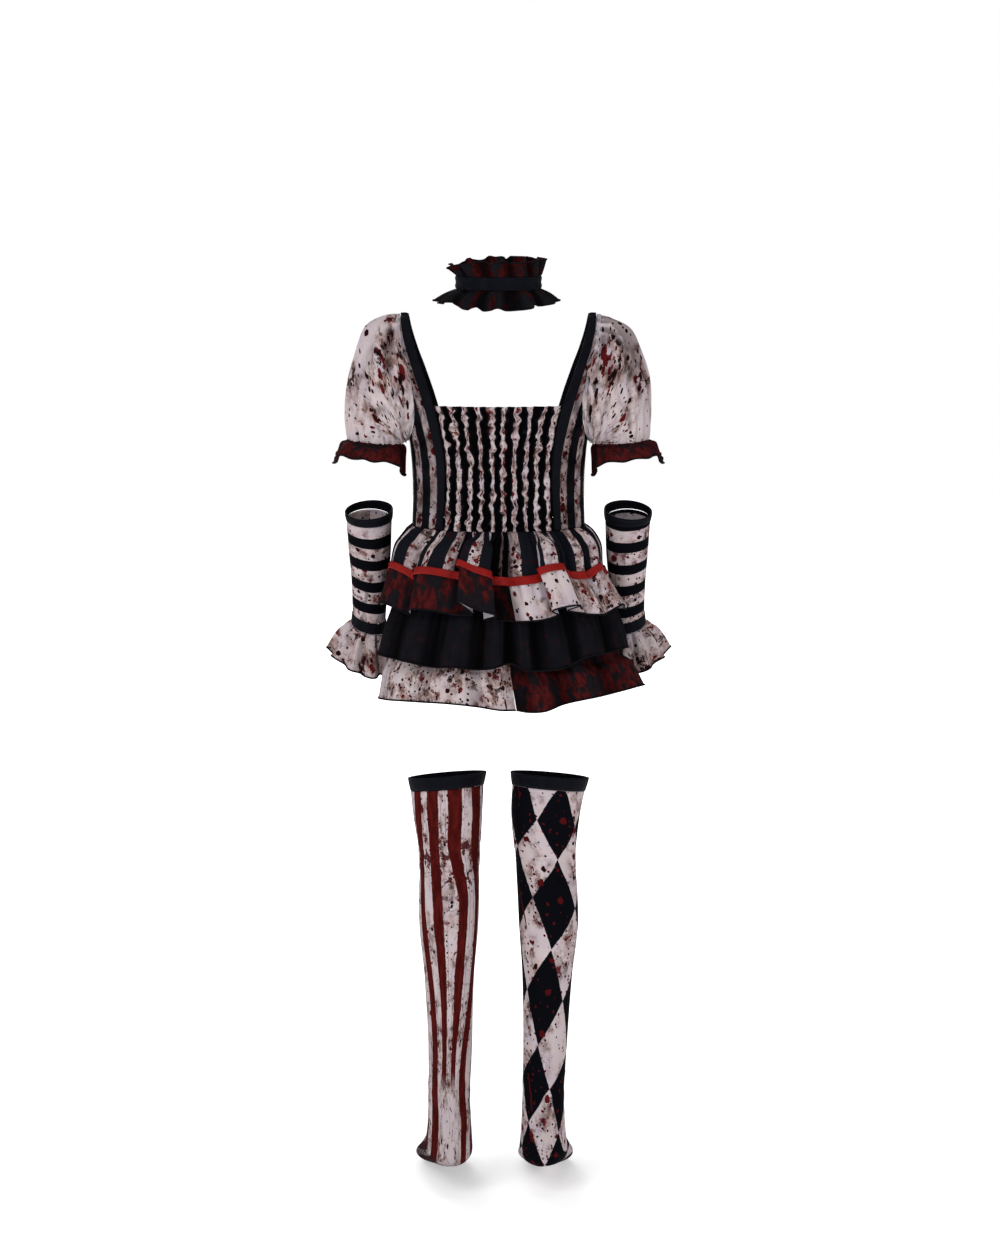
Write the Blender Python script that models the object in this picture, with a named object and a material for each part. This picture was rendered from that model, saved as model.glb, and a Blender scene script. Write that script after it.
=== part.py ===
"""A child's clown costume, hollow and in the pose it is worn in.

It is a ruffled choker, a dress with a shirred back, puffed sleeves and a tiered skirt, two arm warmers
with wrist ruffles and two over-knee stockings. Each piece that a maker cuts is one solid: a wall of
cloth with its folds, 0.3 mm or more from the pieces that it is sewn to.

Lengths here are millimetres, and meshes are made in metres. +Z is up, the wearer faces -Y, and +X is
the wearer's left. The origin lies between the shoulder straps, at the height of their tops.
"""

from math import acos, atan2, cos, degrees, pi, radians, sin, sqrt

import bmesh
import bpy
from mathutils import Vector

MM = 0.001

# Cloth walls and seams
CLOTH = 1.4
KNIT = 1.6
TAPE = 2.4
SEAM = 0.8

# Heights of the dress above the origin, which is at the tops of the straps
WAIST_Z = -248.0
CHEST_Z = -102.0
ARMHOLE_Z = -145.0

# Bodice
BODY_POWER = 2.3
SHOULDER_HALF_WIDTH = 140.0
TAPE_PROUD = 0.8
PANEL_GAP = 0.3
SIDE_SEAM_TURN = 0.0035  # how far from the very side of the bodice a side panel stops
FRONT_COLUMNS = 12
SHIRR_RIDGES = 10
SHIRR_ROWS = 10
SHIRR_HEIGHT = 2.8
SHIRR_PINCH = 0.45
SHIRR_WANDER = 0.16
FRONT_NECK_Z = -128.0
FRONT_BINDING = 10.0

# Sleeves, on the wearer's left; the right ones are mirrored
CUFF_CENTRE = Vector((146.0, 0.0, -149.0))
SLEEVE_GATHERS = 12
SLEEVE_HEAD_HELD = 0.3
RUFFLE_LIFT_FROM = 0.1, 0.8  # the turning away from the side over which the hem of a ruffle rises

# Skirt
SKIRT_POWER = 2.15
PEPLUM_CLOTH = 1.2
RISE_LEAD = 1.3
RIBBON = 1.0
TRIM_TOP_Z = -294.6
TRIM_LOW_Z = -304.0
TRIM_GAP = 1.8

# Choker and ruffles
NECK_RADIUS = 50.0
RUFFLE_CLOTH = 1.2
CHOKER_WAVES = 12
WRIST_WAVES = 10
RUFFLE_COLUMNS = 40
WRIST_RADIUS = 20.0
WRIST_INNER_SHARE = 0.5
WRIST_OUTER_RISE = 0.85
ARM_BAND_PROUD = 0.8
LEG_BAND_PROUD = 0.6

INK = (0.012, 0.013, 0.018)
BONE = (0.60, 0.52, 0.52)
BLOOD = (0.12, 0.010, 0.012)
SCARLET = (0.36, 0.012, 0.010)

# Bodice sections below the chest line
BODY = (  # z, half width, half depth
    (-250.0, 103.0, 72.0),
    (-200.0, 102.0, 75.0),
    (-150.0, 105.5, 78.0),
    (-102.0, 114.0, 77.0),
)
STRAP = (  # z, x of the tape's inner and outer edges
    (-248.0, 65.5, 73.5),
    (-205.0, 63.0, 71.5),
    (-165.0, 63.5, 73.0),
    (-125.0, 70.0, 81.0),
    (-90.0, 79.8, 91.0),
    (-59.0, 90.3, 101.0),
    (-36.0, 98.0, 108.5),
    (-14.0, 103.7, 113.8),
    (0.0, 106.0, 115.5),
)
ARMHOLE = (  # z, x of the seam that joins the sleeve
    (-145.0, 105.4),
    (-137.0, 103.0),
    (-112.0, 98.5),
    (-86.0, 102.0),
    (-59.0, 109.0),
    (-44.0, 113.8),
    (-8.0, 119.0),
    (0.0, 120.0),
)
SLEEVE = (  # x and z on the outer side, x and z on the inner side, half depth, gathers
    (139.0, 1.0, 107.0, -148.5, 53.0, 1.0),
    (158.5, -13.0, 108.0, -149.5, 56.0, 1.5),
    (171.5, -45.0, 109.2, -150.2, 54.0, 1.4),
    (180.5, -80.0, 110.5, -150.8, 49.0, 1.2),
    (182.5, -115.0, 111.8, -151.2, 42.0, 1.5),
    (179.0, -146.5, 113.0, -151.5, 33.0, 1.0),
)
SLEEVE_RUFFLE = (  # drop below the cuff, out towards the hand, radius, wave, tilt in degrees, lift, spread
    (1.5, 0.3, 33.4, 0.8, 4.5, 0.0, 0.0),
    (5.0, 2.6, 37.8, 1.2, 5.5, 1.0, 1.0),
    (15.0, 4.6, 39.0, 1.6, 7.5, 5.0, 4.0),
    (32.0, 8.0, 41.5, 2.2, 11.0, 12.5, 6.0),
)
PEPLUM = (  # z, half width, half depth, centre x, share of the folds, fine gathers
    (-248.5, 104.5, 73.5, 0.0, 0.00, 0.4),
    (-258.0, 122.0, 84.0, -0.8, 0.16, 1.5),
    (-272.0, 126.5, 92.0, 0.4, 0.42, 0.9),
    (-294.4, 126.0, 100.5, 2.0, 0.62, 0.0),
    (-295.2, 126.2, 100.7, 2.0, 0.62, 0.0),
    (-304.0, 128.8, 103.5, 1.0, 0.72, 0.0),
    (-344.0, 147.0, 118.0, -5.0, 1.00, 0.0),
)
MIDDLE_TIER = (  # z, half width, half depth, centre x, share of the folds, fine gathers
    (-249.0, 101.5, 70.5, 0.0, 0.00, 0.0),
    (-298.0, 108.5, 81.0, 0.0, 0.22, 0.0),
    (-344.0, 128.5, 100.0, -4.0, 0.50, 0.0),
    (-376.0, 139.5, 112.0, -4.5, 0.80, 0.0),
    (-407.0, 147.0, 121.0, -4.5, 1.00, 0.0),
)
LOWER_TIER = (  # z, half width, half depth, centre x, share of the folds, fine gathers
    (-374.0, 130.0, 102.0, -5.0, 0.40, 0.0),
    (-410.0, 138.5, 110.5, -5.5, 0.45, 0.0),
    (-421.0, 147.0, 120.0, -7.0, 0.70, 0.0),
    (-451.0, 157.5, 129.0, -11.5, 1.00, 0.0),
)
# Flutes and the hollows between them: angle from the back centre towards the wearer's left, how far the
# hem stands out there, and how far it rises. Where the angle steps back, a flute overhangs its neighbour.
UPPER_FOLDS = (  # angle, out, rise
    (-8, -12, -6), (-4, -14, -5), (3, -6, 0), (1.5, 12, 11), (11, 19, 15), (20.5, 13, 14), (17.5, 0, 6),
    (25, -7, 2), (31, 0, 5), (44, 7, 8), (52, 4, 5), (57, -8, -3), (63, 2, 5), (70, 9, 9), (78, 3, 3),
    (84, -3, 0), (92, 2, -2), (104, -16, -5), (119, 0, 0), (131, 6, 0), (142, -5, -2), (153, -1, 1),
    (164, 2, 0), (172, -5, -2), (183, 2, 0), (194, -4, -1), (205, 5, 0), (216, -4, -1), (228, 5, 0),
    (241, 0, 0), (256, -16, -4), (270, 2, -3), (278, 0, 0), (288, 6, 4), (297, -3, -4), (305, 6, -1),
    (311.5, -4, 0), (316, 5, 3), (319.5, -4, 4), (323, -2, 7), (321, 8, 12), (327, 13, 14), (333.5, 9, 8),
    (330, -2, 3), (336, 1, -2), (344, 4, -3),
)
MIDDLE_FOLDS = (  # angle, out, rise
    (-5, -6, 9), (5, 4, 5), (14, -4, 2), (27, 5, 5), (40, -4, 2), (52, 6, 7), (64, -4, 5), (76, 4, 6),
    (90, 0, 1), (109, -15, -6), (126, 0, 0), (134, 4, 0), (146, -4, -1), (158, 5, 1), (170, -4, -1),
    (180, 4, 1), (190, -4, -1), (202, 5, 1), (214, -4, -1), (226, 4, 0), (234, 0, 0), (251, -15, 2),
    (270, 2, 9), (284, 6, 15), (296, -4, 13), (308, 5, 15), (314, 3, 14), (318, -4, 8), (329, 5, 3),
    (340, -4, 0), (348, 4, 3),
)
LOWER_FOLDS = (  # angle, out, rise
    (-4.3, -5, -1), (4, 5, 1), (17, -5, 3), (31, 5, 7), (46, -5, 4), (60, 6, 3), (74, -4, -3),
    (90, -2, -8), (111, -22, -8), (128, -2, -2), (137, -4, -2), (150, 5, 0), (163, 2, 0),
    (175.7, -4, -2), (188, 3, 0), (202, -4, -1), (218, 4, 0), (232, -2, 0), (249, -22, 0), (270, 4, 8),
    (288, 8, 15), (304, -5, 11), (317, 6, 12), (330, -5, 5), (342, 5, -1), (350, -4, -3),
)
CHOKER_BAND = (  # z, radius, wave, lift on the left and on the right, centre x
    (47.0, NECK_RADIUS, 0.0, 0.0, 0.0, 0.0),
    (32.0, NECK_RADIUS, 0.0, 0.0, 0.0, 0.0),
)
CHOKER_UPPER_RUFFLE = (  # z, radius, wave, lift on the left and on the right, centre x
    (65.0, 54.5, 4.0, -8.0, 1.0, 4.5),
    (57.0, 52.8, 2.4, -4.0, 0.0, 2.5),
    (47.7, NECK_RADIUS, 0.8, 0.0, 0.0, 0.0),
)
CHOKER_LOWER_RUFFLE = (  # z, radius, wave, lift on the left and on the right, centre x
    (31.3, NECK_RADIUS, 0.8, 0.0, 0.0, 0.0),
    (24.0, 59.5, 2.4, 2.0, 2.0, 0.8),
    (11.0, 68.0, 4.5, 7.0, 7.0, 2.0),
)
ARM_LEAN = 0.29  # how far a ring round the forearm drops for each millimetre towards the back
ARM = (  # z, x, y, radius, rise for each millimetre outwards, from the elbow to the wrist
    (-233.5, 155.2, -12.5, 28.0, -0.06),
    (-243.5, 155.0, -15.0, 27.2, 0.00),
    (-285.0, 154.8, -25.0, 25.3, 0.08),
    (-322.0, 155.5, -35.5, 22.2, 0.14),
    (-368.6, 157.3, -53.0, 19.9, 0.24),
    (-381.8, 158.5, -58.5, 19.8, 0.26),
)
WRIST_RUFFLE = (  # z, x, y, radius, wave, share of the wristband's slant
    (-383.1, 158.5, -59.0, 20.0, 1.2, 1.0),
    (-404.0, 161.0, -66.0, 31.0, 3.0, 0.7),
    (-436.0, 164.0, -75.0, 42.0, 5.0, 0.3),
)
LEG = (  # z, x on the left leg, x on the right leg, y, half width, half depth
    (-554.0, 62.0, -62.0, 0.0, 47.0, 48.0),
    (-569.5, 62.0, -60.5, 0.0, 44.0, 46.0),
    (-600.0, 61.5, -57.0, 0.0, 41.8, 44.0),
    (-632.0, 60.0, -56.5, -1.0, 38.8, 41.5),
    (-665.0, 59.7, -57.5, -2.0, 36.5, 40.0),
    (-735.0, 60.6, -61.0, 5.0, 36.0, 40.0),
    (-805.0, 60.0, -59.2, 4.0, 30.3, 33.5),
    (-880.0, 59.1, -57.0, 2.0, 27.0, 29.0),
    (-948.0, 60.4, -55.0, 1.0, 25.6, 27.5),
)
# Sections of the foot, each between a point on the instep and a point on the heel or sole
FOOT = (  # instep y, instep z, sole y, sole z, half width
    (-29.0, -974.0, 31.0, -981.0, 26.2),
    (-38.0, -990.0, 35.0, -1008.0, 27.4),
    (-50.0, -1003.0, 30.0, -1034.0, 28.8),
    (-64.0, -1015.0, 4.0, -1046.0, 30.4),
    (-86.0, -1031.0, -44.0, -1060.0, 32.4),
    (-111.0, -1047.0, -97.0, -1075.0, 34.5),
    (-133.0, -1060.0, -129.0, -1081.0, 29.5),
    (-146.0, -1069.0, -145.0, -1080.0, 17.0),
)
TOE_TIP = (-150.0, -1075.0)
TOE_OUT = {1: 0.09, -1: 0.045}
STOCKING_BACK_RISE = 6.5
STOCKING_INNER_RISE = 4.0


# ---------------------------------------------------------------- tables and sections


def between(table, key):
    """The columns of a table at a value of its first column, on a smooth curve through its rows."""
    rows = sorted(table)
    key = min(max(key, rows[0][0]), rows[-1][0])
    i = max(j for j, row in enumerate(rows[:-1]) if row[0] <= key or j == 0)
    low, high = rows[i], rows[i + 1]
    before, after = rows[max(i - 1, 0)], rows[min(i + 2, len(rows) - 1)]
    span = high[0] - low[0]
    t = (key - low[0]) / span
    found = []
    for a, b, c, d in zip(before[1:], low[1:], high[1:], after[1:]):
        leaving = span * (c - a) / (high[0] - before[0])
        arriving = span * (d - b) / (after[0] - low[0])
        found.append(
            (2 * t**3 - 3 * t**2 + 1) * b
            + (t**3 - 2 * t**2 + t) * leaving
            + (3 * t**2 - 2 * t**3) * c
            + (t**3 - t**2) * arriving
        )
    return found


def signed_power(value, power):
    return abs(value) ** power * (1 if value >= 0 else -1)


def ease(value, low, high):
    """0 below low and 1 above high, and smooth between them."""
    t = min(max((value - low) / (high - low), 0.0), 1.0)
    return t * t * (3 - 2 * t)


def steps(start, end, count):
    """count + 1 values from start to end, evenly spaced."""
    return [start + (end - start) * i / count for i in range(count + 1)]


def turned_to_right(rows):
    """The rows of a left-hand piece as those of its right-hand twin."""
    return [[Vector((-p.x, p.y, p.z)) for p in reversed(row)] for row in rows]


def turned_to_front(rows):
    """The rows of a back piece as those of a front piece of the same shape."""
    return [[Vector((p.x, -p.y, p.z)) for p in reversed(row)] for row in rows]


def outward(rows, i, j, closed):
    """The outward direction of a sheet at one of its points, from the points around it."""
    count = len(rows[i])
    above, below = rows[max(i - 1, 0)][j], rows[min(i + 1, len(rows) - 1)][j]
    if closed:
        left, right = rows[i][(j + 1) % count], rows[i][j - 1]
    else:
        left, right = rows[i][min(j + 1, count - 1)], rows[i][max(j - 1, 0)]
    return (below - above).cross(left - right).normalized()


def moved_out(rows, distance, closed=False):
    """The same sheet, moved out from its surface."""
    return [
        [p + distance * outward(rows, i, j, closed) for j, p in enumerate(row)]
        for i, row in enumerate(rows)
    ]


# ---------------------------------------------------------------- making solids


def finish(name, colour, roughness):
    material = bpy.data.materials.new(name)
    material.use_nodes = True
    shader = material.node_tree.nodes["Principled BSDF"]
    shader.inputs["Base Color"].default_value = (*colour, 1.0)
    shader.inputs["Roughness"].default_value = roughness
    shader.inputs["Metallic"].default_value = 0.0
    return material


def shown(name, shape, material):
    """A mesh object with this shape, whose faces are shaded smooth."""
    bmesh.ops.recalc_face_normals(shape, faces=shape.faces)
    mesh = bpy.data.meshes.new(name)
    shape.to_mesh(mesh)
    shape.free()
    mesh.shade_smooth()
    mesh.materials.append(material)
    piece = bpy.data.objects.new(name, mesh)
    bpy.context.scene.collection.objects.link(piece)
    return piece


def skin(shape, rows, closed):
    """Faces between rows of points, which run from the top down and anticlockwise seen from above."""
    grid = [[shape.verts.new(p * MM) for p in row] for row in rows]
    for upper, lower in zip(grid, grid[1:]):
        for j in range(len(upper) if closed else len(upper) - 1):
            k = (j + 1) % len(upper)
            shape.faces.new((upper[j], lower[j], lower[k], upper[k]))
    return grid


def cloth(name, rows, thickness, material, closed=False, toe=None):
    """A panel or a tube of cloth, thickened inwards from its outer points."""
    inner = moved_out(rows, -thickness, closed)
    shape = bmesh.new()
    outside = skin(shape, rows, closed)
    inside = skin(shape, inner, closed)
    for face in [f for f in shape.faces if f.verts[0] in {v for row in inside for v in row}]:
        face.normal_flip()
    count = len(rows[0])
    for j in range(count if closed else count - 1):
        k = (j + 1) % count
        shape.faces.new((outside[0][k], inside[0][k], inside[0][j], outside[0][j]))
        if toe is None:
            shape.faces.new((outside[-1][j], inside[-1][j], inside[-1][k], outside[-1][k]))
    if not closed:
        for i in range(len(rows) - 1):
            shape.faces.new((outside[i][0], inside[i][0], inside[i + 1][0], outside[i + 1][0]))
            shape.faces.new((outside[i + 1][-1], inside[i + 1][-1], inside[i][-1], outside[i][-1]))
    if toe is not None:
        for ring, tip in ((outside[-1], toe), (inside[-1], toe + Vector((0, thickness, 0)))):
            end = shape.verts.new(tip * MM)
            for j in range(count):
                shape.faces.new((ring[j], end, ring[(j + 1) % count]))
    return shown(name, shape, material)


# ---------------------------------------------------------------- bodice


def body_size(z):
    """Half width and half depth of the bodice at a height; above the chest it closes over the shoulders."""
    if z <= CHEST_Z:
        return between(BODY, z)
    rise = min((z - CHEST_Z) / -CHEST_Z, 1.0)
    chest_width, chest_depth = BODY[-1][1:]
    return chest_width + (SHOULDER_HALF_WIDTH - chest_width) * rise, chest_depth * sqrt(1 - rise**2)


def turn_at(x, z):
    """How far round the bodice from its left side an x lies, as the section's own angle."""
    return acos(min(abs(x) / body_size(z)[0], 1.0) ** (BODY_POWER / 2))


def on_body(turn, z):
    half_width, half_depth = body_size(z)
    return Vector((
        half_width * signed_power(cos(turn), 2 / BODY_POWER),
        half_depth * signed_power(sin(turn), 2 / BODY_POWER),
        z,
    ))


def bodice_heights(below, above):
    """Heights from the shoulder down to the waist, closer together where the strap turns over."""
    over = [CHEST_Z - CHEST_Z * cos(a) for a in steps(0, pi / 2, above)]
    return over + steps(CHEST_Z, WAIST_Z, below)[1:]


def side_panel_rows(columns):
    """The striped side back, from the tape to the side seam and, above, to the armhole."""
    rows = []
    for z in bodice_heights(7, 8):
        inner = turn_at(between(STRAP, z)[1] + SEAM, z)
        outer = turn_at(between(ARMHOLE, z)[0], z) if z > ARMHOLE_Z else 0.0
        rows.append([on_body(turn, z) for turn in steps(max(outer, SIDE_SEAM_TURN), inner, columns)])
    for point in rows[0]:
        point.y = SEAM / 2 + 0.2
    return rows


def strap_rows():
    """The black tape from the back waist over the shoulder and down to the front waist."""
    back = []
    for z in bodice_heights(7, 8):
        inner, outer = between(STRAP, z)
        back.append([on_body(turn_at(x, z), z) for x in steps(outer, inner, 2)])
    front = [[Vector((p.x, -p.y, p.z)) for p in row] for row in back]
    return moved_out(list(reversed(back)) + front[1:], -TAPE_PROUD)


def back_point(x, z):
    """The point of the bodice's back at an x and a height."""
    half_width, half_depth = body_size(z)
    return Vector((x, half_depth * (1 - (abs(x) / half_width) ** BODY_POWER) ** (1 / BODY_POWER), z))


def middle_panel_rows(top, rows_down, columns):
    """A back panel between the two tapes, from a height down to the waist."""
    rows = []
    for z in steps(top, WAIST_Z, rows_down):
        edge = between(STRAP, z)[0] - SEAM - PANEL_GAP
        rows.append([back_point(x, z) for x in steps(edge, -edge, columns)])
    return rows


def shirred_back(material):
    """The shirred panel: upright puckers, pinched in at each row of elastic, over a plain inside."""
    outer = middle_panel_rows(CHEST_Z + 1, SHIRR_ROWS * 2, SHIRR_RIDGES * 4)
    inner = moved_out(middle_panel_rows(CHEST_Z + 1, SHIRR_ROWS // 2, SHIRR_RIDGES), -CLOTH)
    raised = []
    for i, row in enumerate(outer):
        puff = SHIRR_HEIGHT * (1.0 if i % 2 else SHIRR_PINCH)
        wander = [SHIRR_WANDER * sin(1.1 * i + j // 4) for j in range(len(row))]
        heights = [puff * (0.5 - 0.5 * cos(2 * pi * (j / 4 + w))) for j, w in enumerate(wander)]
        heights[0] = heights[-1] = 0.0
        raised.append([p + h * outward(outer, i, j, False) for j, (p, h) in enumerate(zip(row, heights))])
    shape = bmesh.new()
    outside = skin(shape, raised, False)
    inside = skin(shape, inner, False)
    for end in (0, -1):
        for j in range(SHIRR_RIDGES):
            shape.faces.new((*outside[end][4 * j : 4 * j + 5], inside[end][j + 1], inside[end][j]))
        for i in range(SHIRR_ROWS // 2):
            edge = [outside[4 * i + n][end] for n in range(5)]
            shape.faces.new((*edge, inside[i + 1][end], inside[i][end]))
    return shown("back_shirred", shape, material)


def front_binding_rows():
    """The black binding along the front neckline, between the tapes."""
    rows = []
    for z in (FRONT_NECK_Z + FRONT_BINDING, FRONT_NECK_Z + SEAM):
        edge = turn_at(between(STRAP, z)[0] - SEAM, z)
        rows.append([on_body(turn, z) for turn in steps(-pi + edge, -edge, FRONT_COLUMNS)])
    return moved_out(rows, TAPE_PROUD)


def make_bodice(stripes, black):
    shirred_back(stripes)
    side = side_panel_rows(4)
    cloth("side_back_left", side, CLOTH, stripes)
    cloth("side_back_right", turned_to_right(side), CLOTH, stripes)
    cloth("side_front_left", turned_to_front(side), CLOTH, stripes)
    cloth("side_front_right", turned_to_front(turned_to_right(side)), CLOTH, stripes)
    cloth("front_panel", turned_to_front(middle_panel_rows(FRONT_NECK_Z, 4, FRONT_COLUMNS)), CLOTH, stripes)
    straps = [list(reversed(row)) for row in strap_rows()]
    cloth("strap_left", straps, TAPE, black)
    cloth("strap_right", turned_to_right(straps), TAPE, black)
    cloth("front_neck_binding", front_binding_rows(), TAPE, black)


# ---------------------------------------------------------------- sleeves


def armhole_point(turn):
    """A point just outside the armhole seam. Turn is 0 at the shoulder and a half at the underarm."""
    z = ARMHOLE_Z / 2 * (1 - cos(turn)) - 1.5 * sin(turn / 2) ** 2
    x = between(ARMHOLE, z)[0]
    y = on_body(turn_at(x, max(z, ARMHOLE_Z + 0.5)), z).y
    return Vector((x + SEAM + 0.5, y * (1 if sin(turn) >= 0 else -1), z))


def sleeve_rows(columns):
    """The puff: from the armhole out over the shoulder and in to the gathered cuff."""
    turns = [2 * pi * j / columns for j in range(columns)]
    rows = [[armhole_point(turn) for turn in turns]]
    for i, (outer_x, outer_z, inner_x, inner_z, depth, gather) in enumerate(SLEEVE):
        centre = Vector(((outer_x + inner_x) / 2, 0, (outer_z + inner_z) / 2))
        across = Vector(((outer_x - inner_x) / 2, 0, (outer_z - inner_z) / 2))
        row = []
        for turn, held in zip(turns, rows[0]):
            point = centre + across * cos(turn) + Vector((0, depth * sin(turn), 0))
            point += gather * cos(SLEEVE_GATHERS * turn + 0.4 * i) * (point - CUFF_CENTRE).normalized()
            row.append(point.lerp(held, SLEEVE_HEAD_HELD) if i == 0 else point)
        rows.append(row)
    return rows


def sleeve_ruffle_rows():
    """The red and black ruffle below the cuff, which lifts at the back and front and hangs lowest inside."""
    rows = []
    for drop, out, radius, wave, tilt, lift, spread in SLEEVE_RUFFLE:
        row = []
        for j in range(RUFFLE_COLUMNS):
            turn = 2 * pi * j / RUFFLE_COLUMNS
            aside = ease(abs(sin(turn)), *RUFFLE_LIFT_FROM)
            around = radius + spread * aside + wave * cos(WRIST_WAVES * turn + 0.8 * sin(turn))
            across = around * cos(turn)
            leant = Vector((across * cos(radians(tilt)), around * sin(turn), across * sin(radians(tilt))))
            row.append(CUFF_CENTRE + leant + Vector((out, 0, lift * aside - drop)))
        rows.append(row)
    return rows


def make_sleeves(splatter, mottle):
    puff = sleeve_rows(36)
    cloth("sleeve_left", puff, CLOTH, splatter, closed=True)
    cloth("sleeve_right", turned_to_right(puff), CLOTH, splatter, closed=True)
    ruffle = sleeve_ruffle_rows()
    cloth("sleeve_ruffle_left", ruffle, CLOTH, mottle, closed=True)
    cloth("sleeve_ruffle_right", turned_to_right(ruffle), CLOTH, mottle, closed=True)


# ---------------------------------------------------------------- skirt


def fold_columns(folds):
    """The columns of a tier: its folds, and points half way between those that lie far apart."""
    columns = []
    for n, fold in enumerate(folds):
        following = folds[n + 1] if n + 1 < len(folds) else (folds[0][0] + 360, *folds[0][1:])
        columns.append(fold)
        if following[0] - fold[0] > 8:
            columns.append(tuple((a + b) / 2 for a, b in zip(fold, following)))
    return columns


def half_columns(folds, left, gap):
    """The columns of one half of a tier that is seamed at its first fold and opposite it."""
    columns = fold_columns(folds)
    opposite = [c[0] for c in columns].index(folds[0][0] + 180)
    half = columns[: opposite + 1] if left else columns[opposite:] + [(folds[0][0] + 360, *folds[0][1:])]
    half[0] = (half[0][0] + gap, *half[0][1:])
    half[-1] = (half[-1][0] - gap, *half[-1][1:])
    return half


def skirt_rows(tier, columns, heights):
    """A tier of the skirt, whose folds deepen and rise towards its hem."""
    rows = []
    for z in heights:
        half_width, half_depth, centre_x, share, gather = between(tier, z)
        row = []
        for j, (angle, out, rise) in enumerate(reversed(columns)):
            a = radians(angle)
            along_x, along_y = abs(sin(a)) / half_width, abs(cos(a)) / half_depth
            radius = (along_x**SKIRT_POWER + along_y**SKIRT_POWER) ** (-1 / SKIRT_POWER)
            radius += share * out + gather * (1 if j % 2 else -1)
            lift = min(RISE_LEAD * share, 1.0) * rise
            row.append(Vector((centre_x + radius * sin(a), radius * cos(a), z + lift)))
        rows.append(row)
    return rows


def tier_halves(name, tier, folds, heights, left_material, right_material):
    """The two halves of a banded tier, on each side of its seams."""
    gap = degrees(SEAM / tier[-1][2])
    for side, material in (("left", left_material), ("right", right_material)):
        columns = half_columns(folds, side == "left", gap)
        cloth(f"{name}_{side}", skirt_rows(tier, columns, heights), CLOTH, material)


def make_skirt(stripes, splatter, mottle, black, scarlet):
    heights = [row[0] for row in PEPLUM]
    around = fold_columns(UPPER_FOLDS)
    cloth("peplum", skirt_rows(PEPLUM, around, heights[:4]), PEPLUM_CLOTH, stripes, closed=True)
    tier_halves("peplum_band", PEPLUM, UPPER_FOLDS, heights[4:], mottle, splatter)
    over = skirt_rows(PEPLUM, around, (TRIM_TOP_Z, TRIM_LOW_Z))
    trim = moved_out(over, PEPLUM_CLOTH + TRIM_GAP, closed=True)
    cloth("peplum_ribbon", trim, RIBBON, scarlet, closed=True)
    middle = skirt_rows(MIDDLE_TIER, fold_columns(MIDDLE_FOLDS), [row[0] for row in MIDDLE_TIER])
    cloth("middle_tier", middle, CLOTH, black, closed=True)
    tier_halves("lower_tier", LOWER_TIER, LOWER_FOLDS, [row[0] for row in LOWER_TIER], splatter, mottle)


# ---------------------------------------------------------------- choker, arm warmers and stockings


def choker_rows(rings, waves, columns):
    rows = []
    for z, radius, wave, left_lift, right_lift, centre_x in rings:
        row = []
        for j in range(columns):
            turn = 2 * pi * j / columns
            around = radius + wave * cos(waves * turn + 0.9 * sin(2 * turn))
            lift = (left_lift if cos(turn) > 0 else right_lift) * cos(turn) ** 2
            row.append(Vector((centre_x + around * cos(turn), around * sin(turn), z + lift)))
        rows.append(row)
    return rows


def make_choker(black, mottle):
    upper = choker_rows(CHOKER_UPPER_RUFFLE, CHOKER_WAVES, 48)
    lower = choker_rows(CHOKER_LOWER_RUFFLE, CHOKER_WAVES, 48)
    cloth("choker_band", choker_rows(CHOKER_BAND, 0, 32), TAPE, black, closed=True)
    cloth("choker_upper_ruffle", upper, RUFFLE_CLOTH, mottle, closed=True)
    cloth("choker_lower_ruffle", lower, RUFFLE_CLOTH, mottle, closed=True)


def slant(rise, across, along):
    """How far a ring round the forearm lies above its middle, at a place outwards and backwards of it."""
    return rise * across - ARM_LEAN * along


def arm_rows(heights, proud, columns=18):
    """Rings round the forearm, square to it."""
    rows = []
    for z in heights:
        x, y, radius, rise = between(ARM, z)
        row = []
        for j in range(columns):
            turn = 2 * pi * j / columns
            across, along = (radius + proud) * cos(turn), (radius + proud) * sin(turn)
            row.append(Vector((x + across, y + along, z + slant(rise, across, along))))
        rows.append(row)
    return rows


def wrist_ruffle_rows():
    rows = []
    for z, x, y, radius, wave, slanted in WRIST_RUFFLE:
        row = []
        for j in range(RUFFLE_COLUMNS):
            turn = 2 * pi * j / RUFFLE_COLUMNS
            around = radius + wave * cos(WRIST_WAVES * turn + 0.7 * sin(turn))
            inner = max(-cos(turn), 0.0) ** 2
            around -= inner * WRIST_INNER_SHARE * (around - WRIST_RADIUS)
            rise = WRIST_OUTER_RISE * (around - WRIST_RADIUS) * max(cos(turn), 0.0)
            across, along = around * cos(turn), around * sin(turn)
            rise += slanted * slant(ARM[-1][4], across, along)
            row.append(Vector((x + across, y + along, z + rise)))
        rows.append(row)
    return rows


def make_arm_warmers(bands, splatter, black):
    tube = arm_rows([row[0] for row in ARM[1:-1]], 0.0)
    tube[0] = arm_rows((ARM[1][0] - SEAM,), 0.0)[0]
    tube[-1] = arm_rows((ARM[-2][0] + SEAM,), 0.0)[0]
    pieces = (
        ("arm_warmer", tube, KNIT, bands),
        ("arm_band", arm_rows((ARM[0][0], ARM[1][0]), ARM_BAND_PROUD), TAPE, black),
        ("wrist_band", arm_rows((ARM[-2][0], ARM[-1][0]), ARM_BAND_PROUD), TAPE, black),
        ("wrist_ruffle", wrist_ruffle_rows(), CLOTH, splatter),
    )
    for name, rows, thickness, material in pieces:
        cloth(f"{name}_left", rows, thickness, material, closed=True)
        cloth(f"{name}_right", turned_to_right(rows), thickness, material, closed=True)


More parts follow.
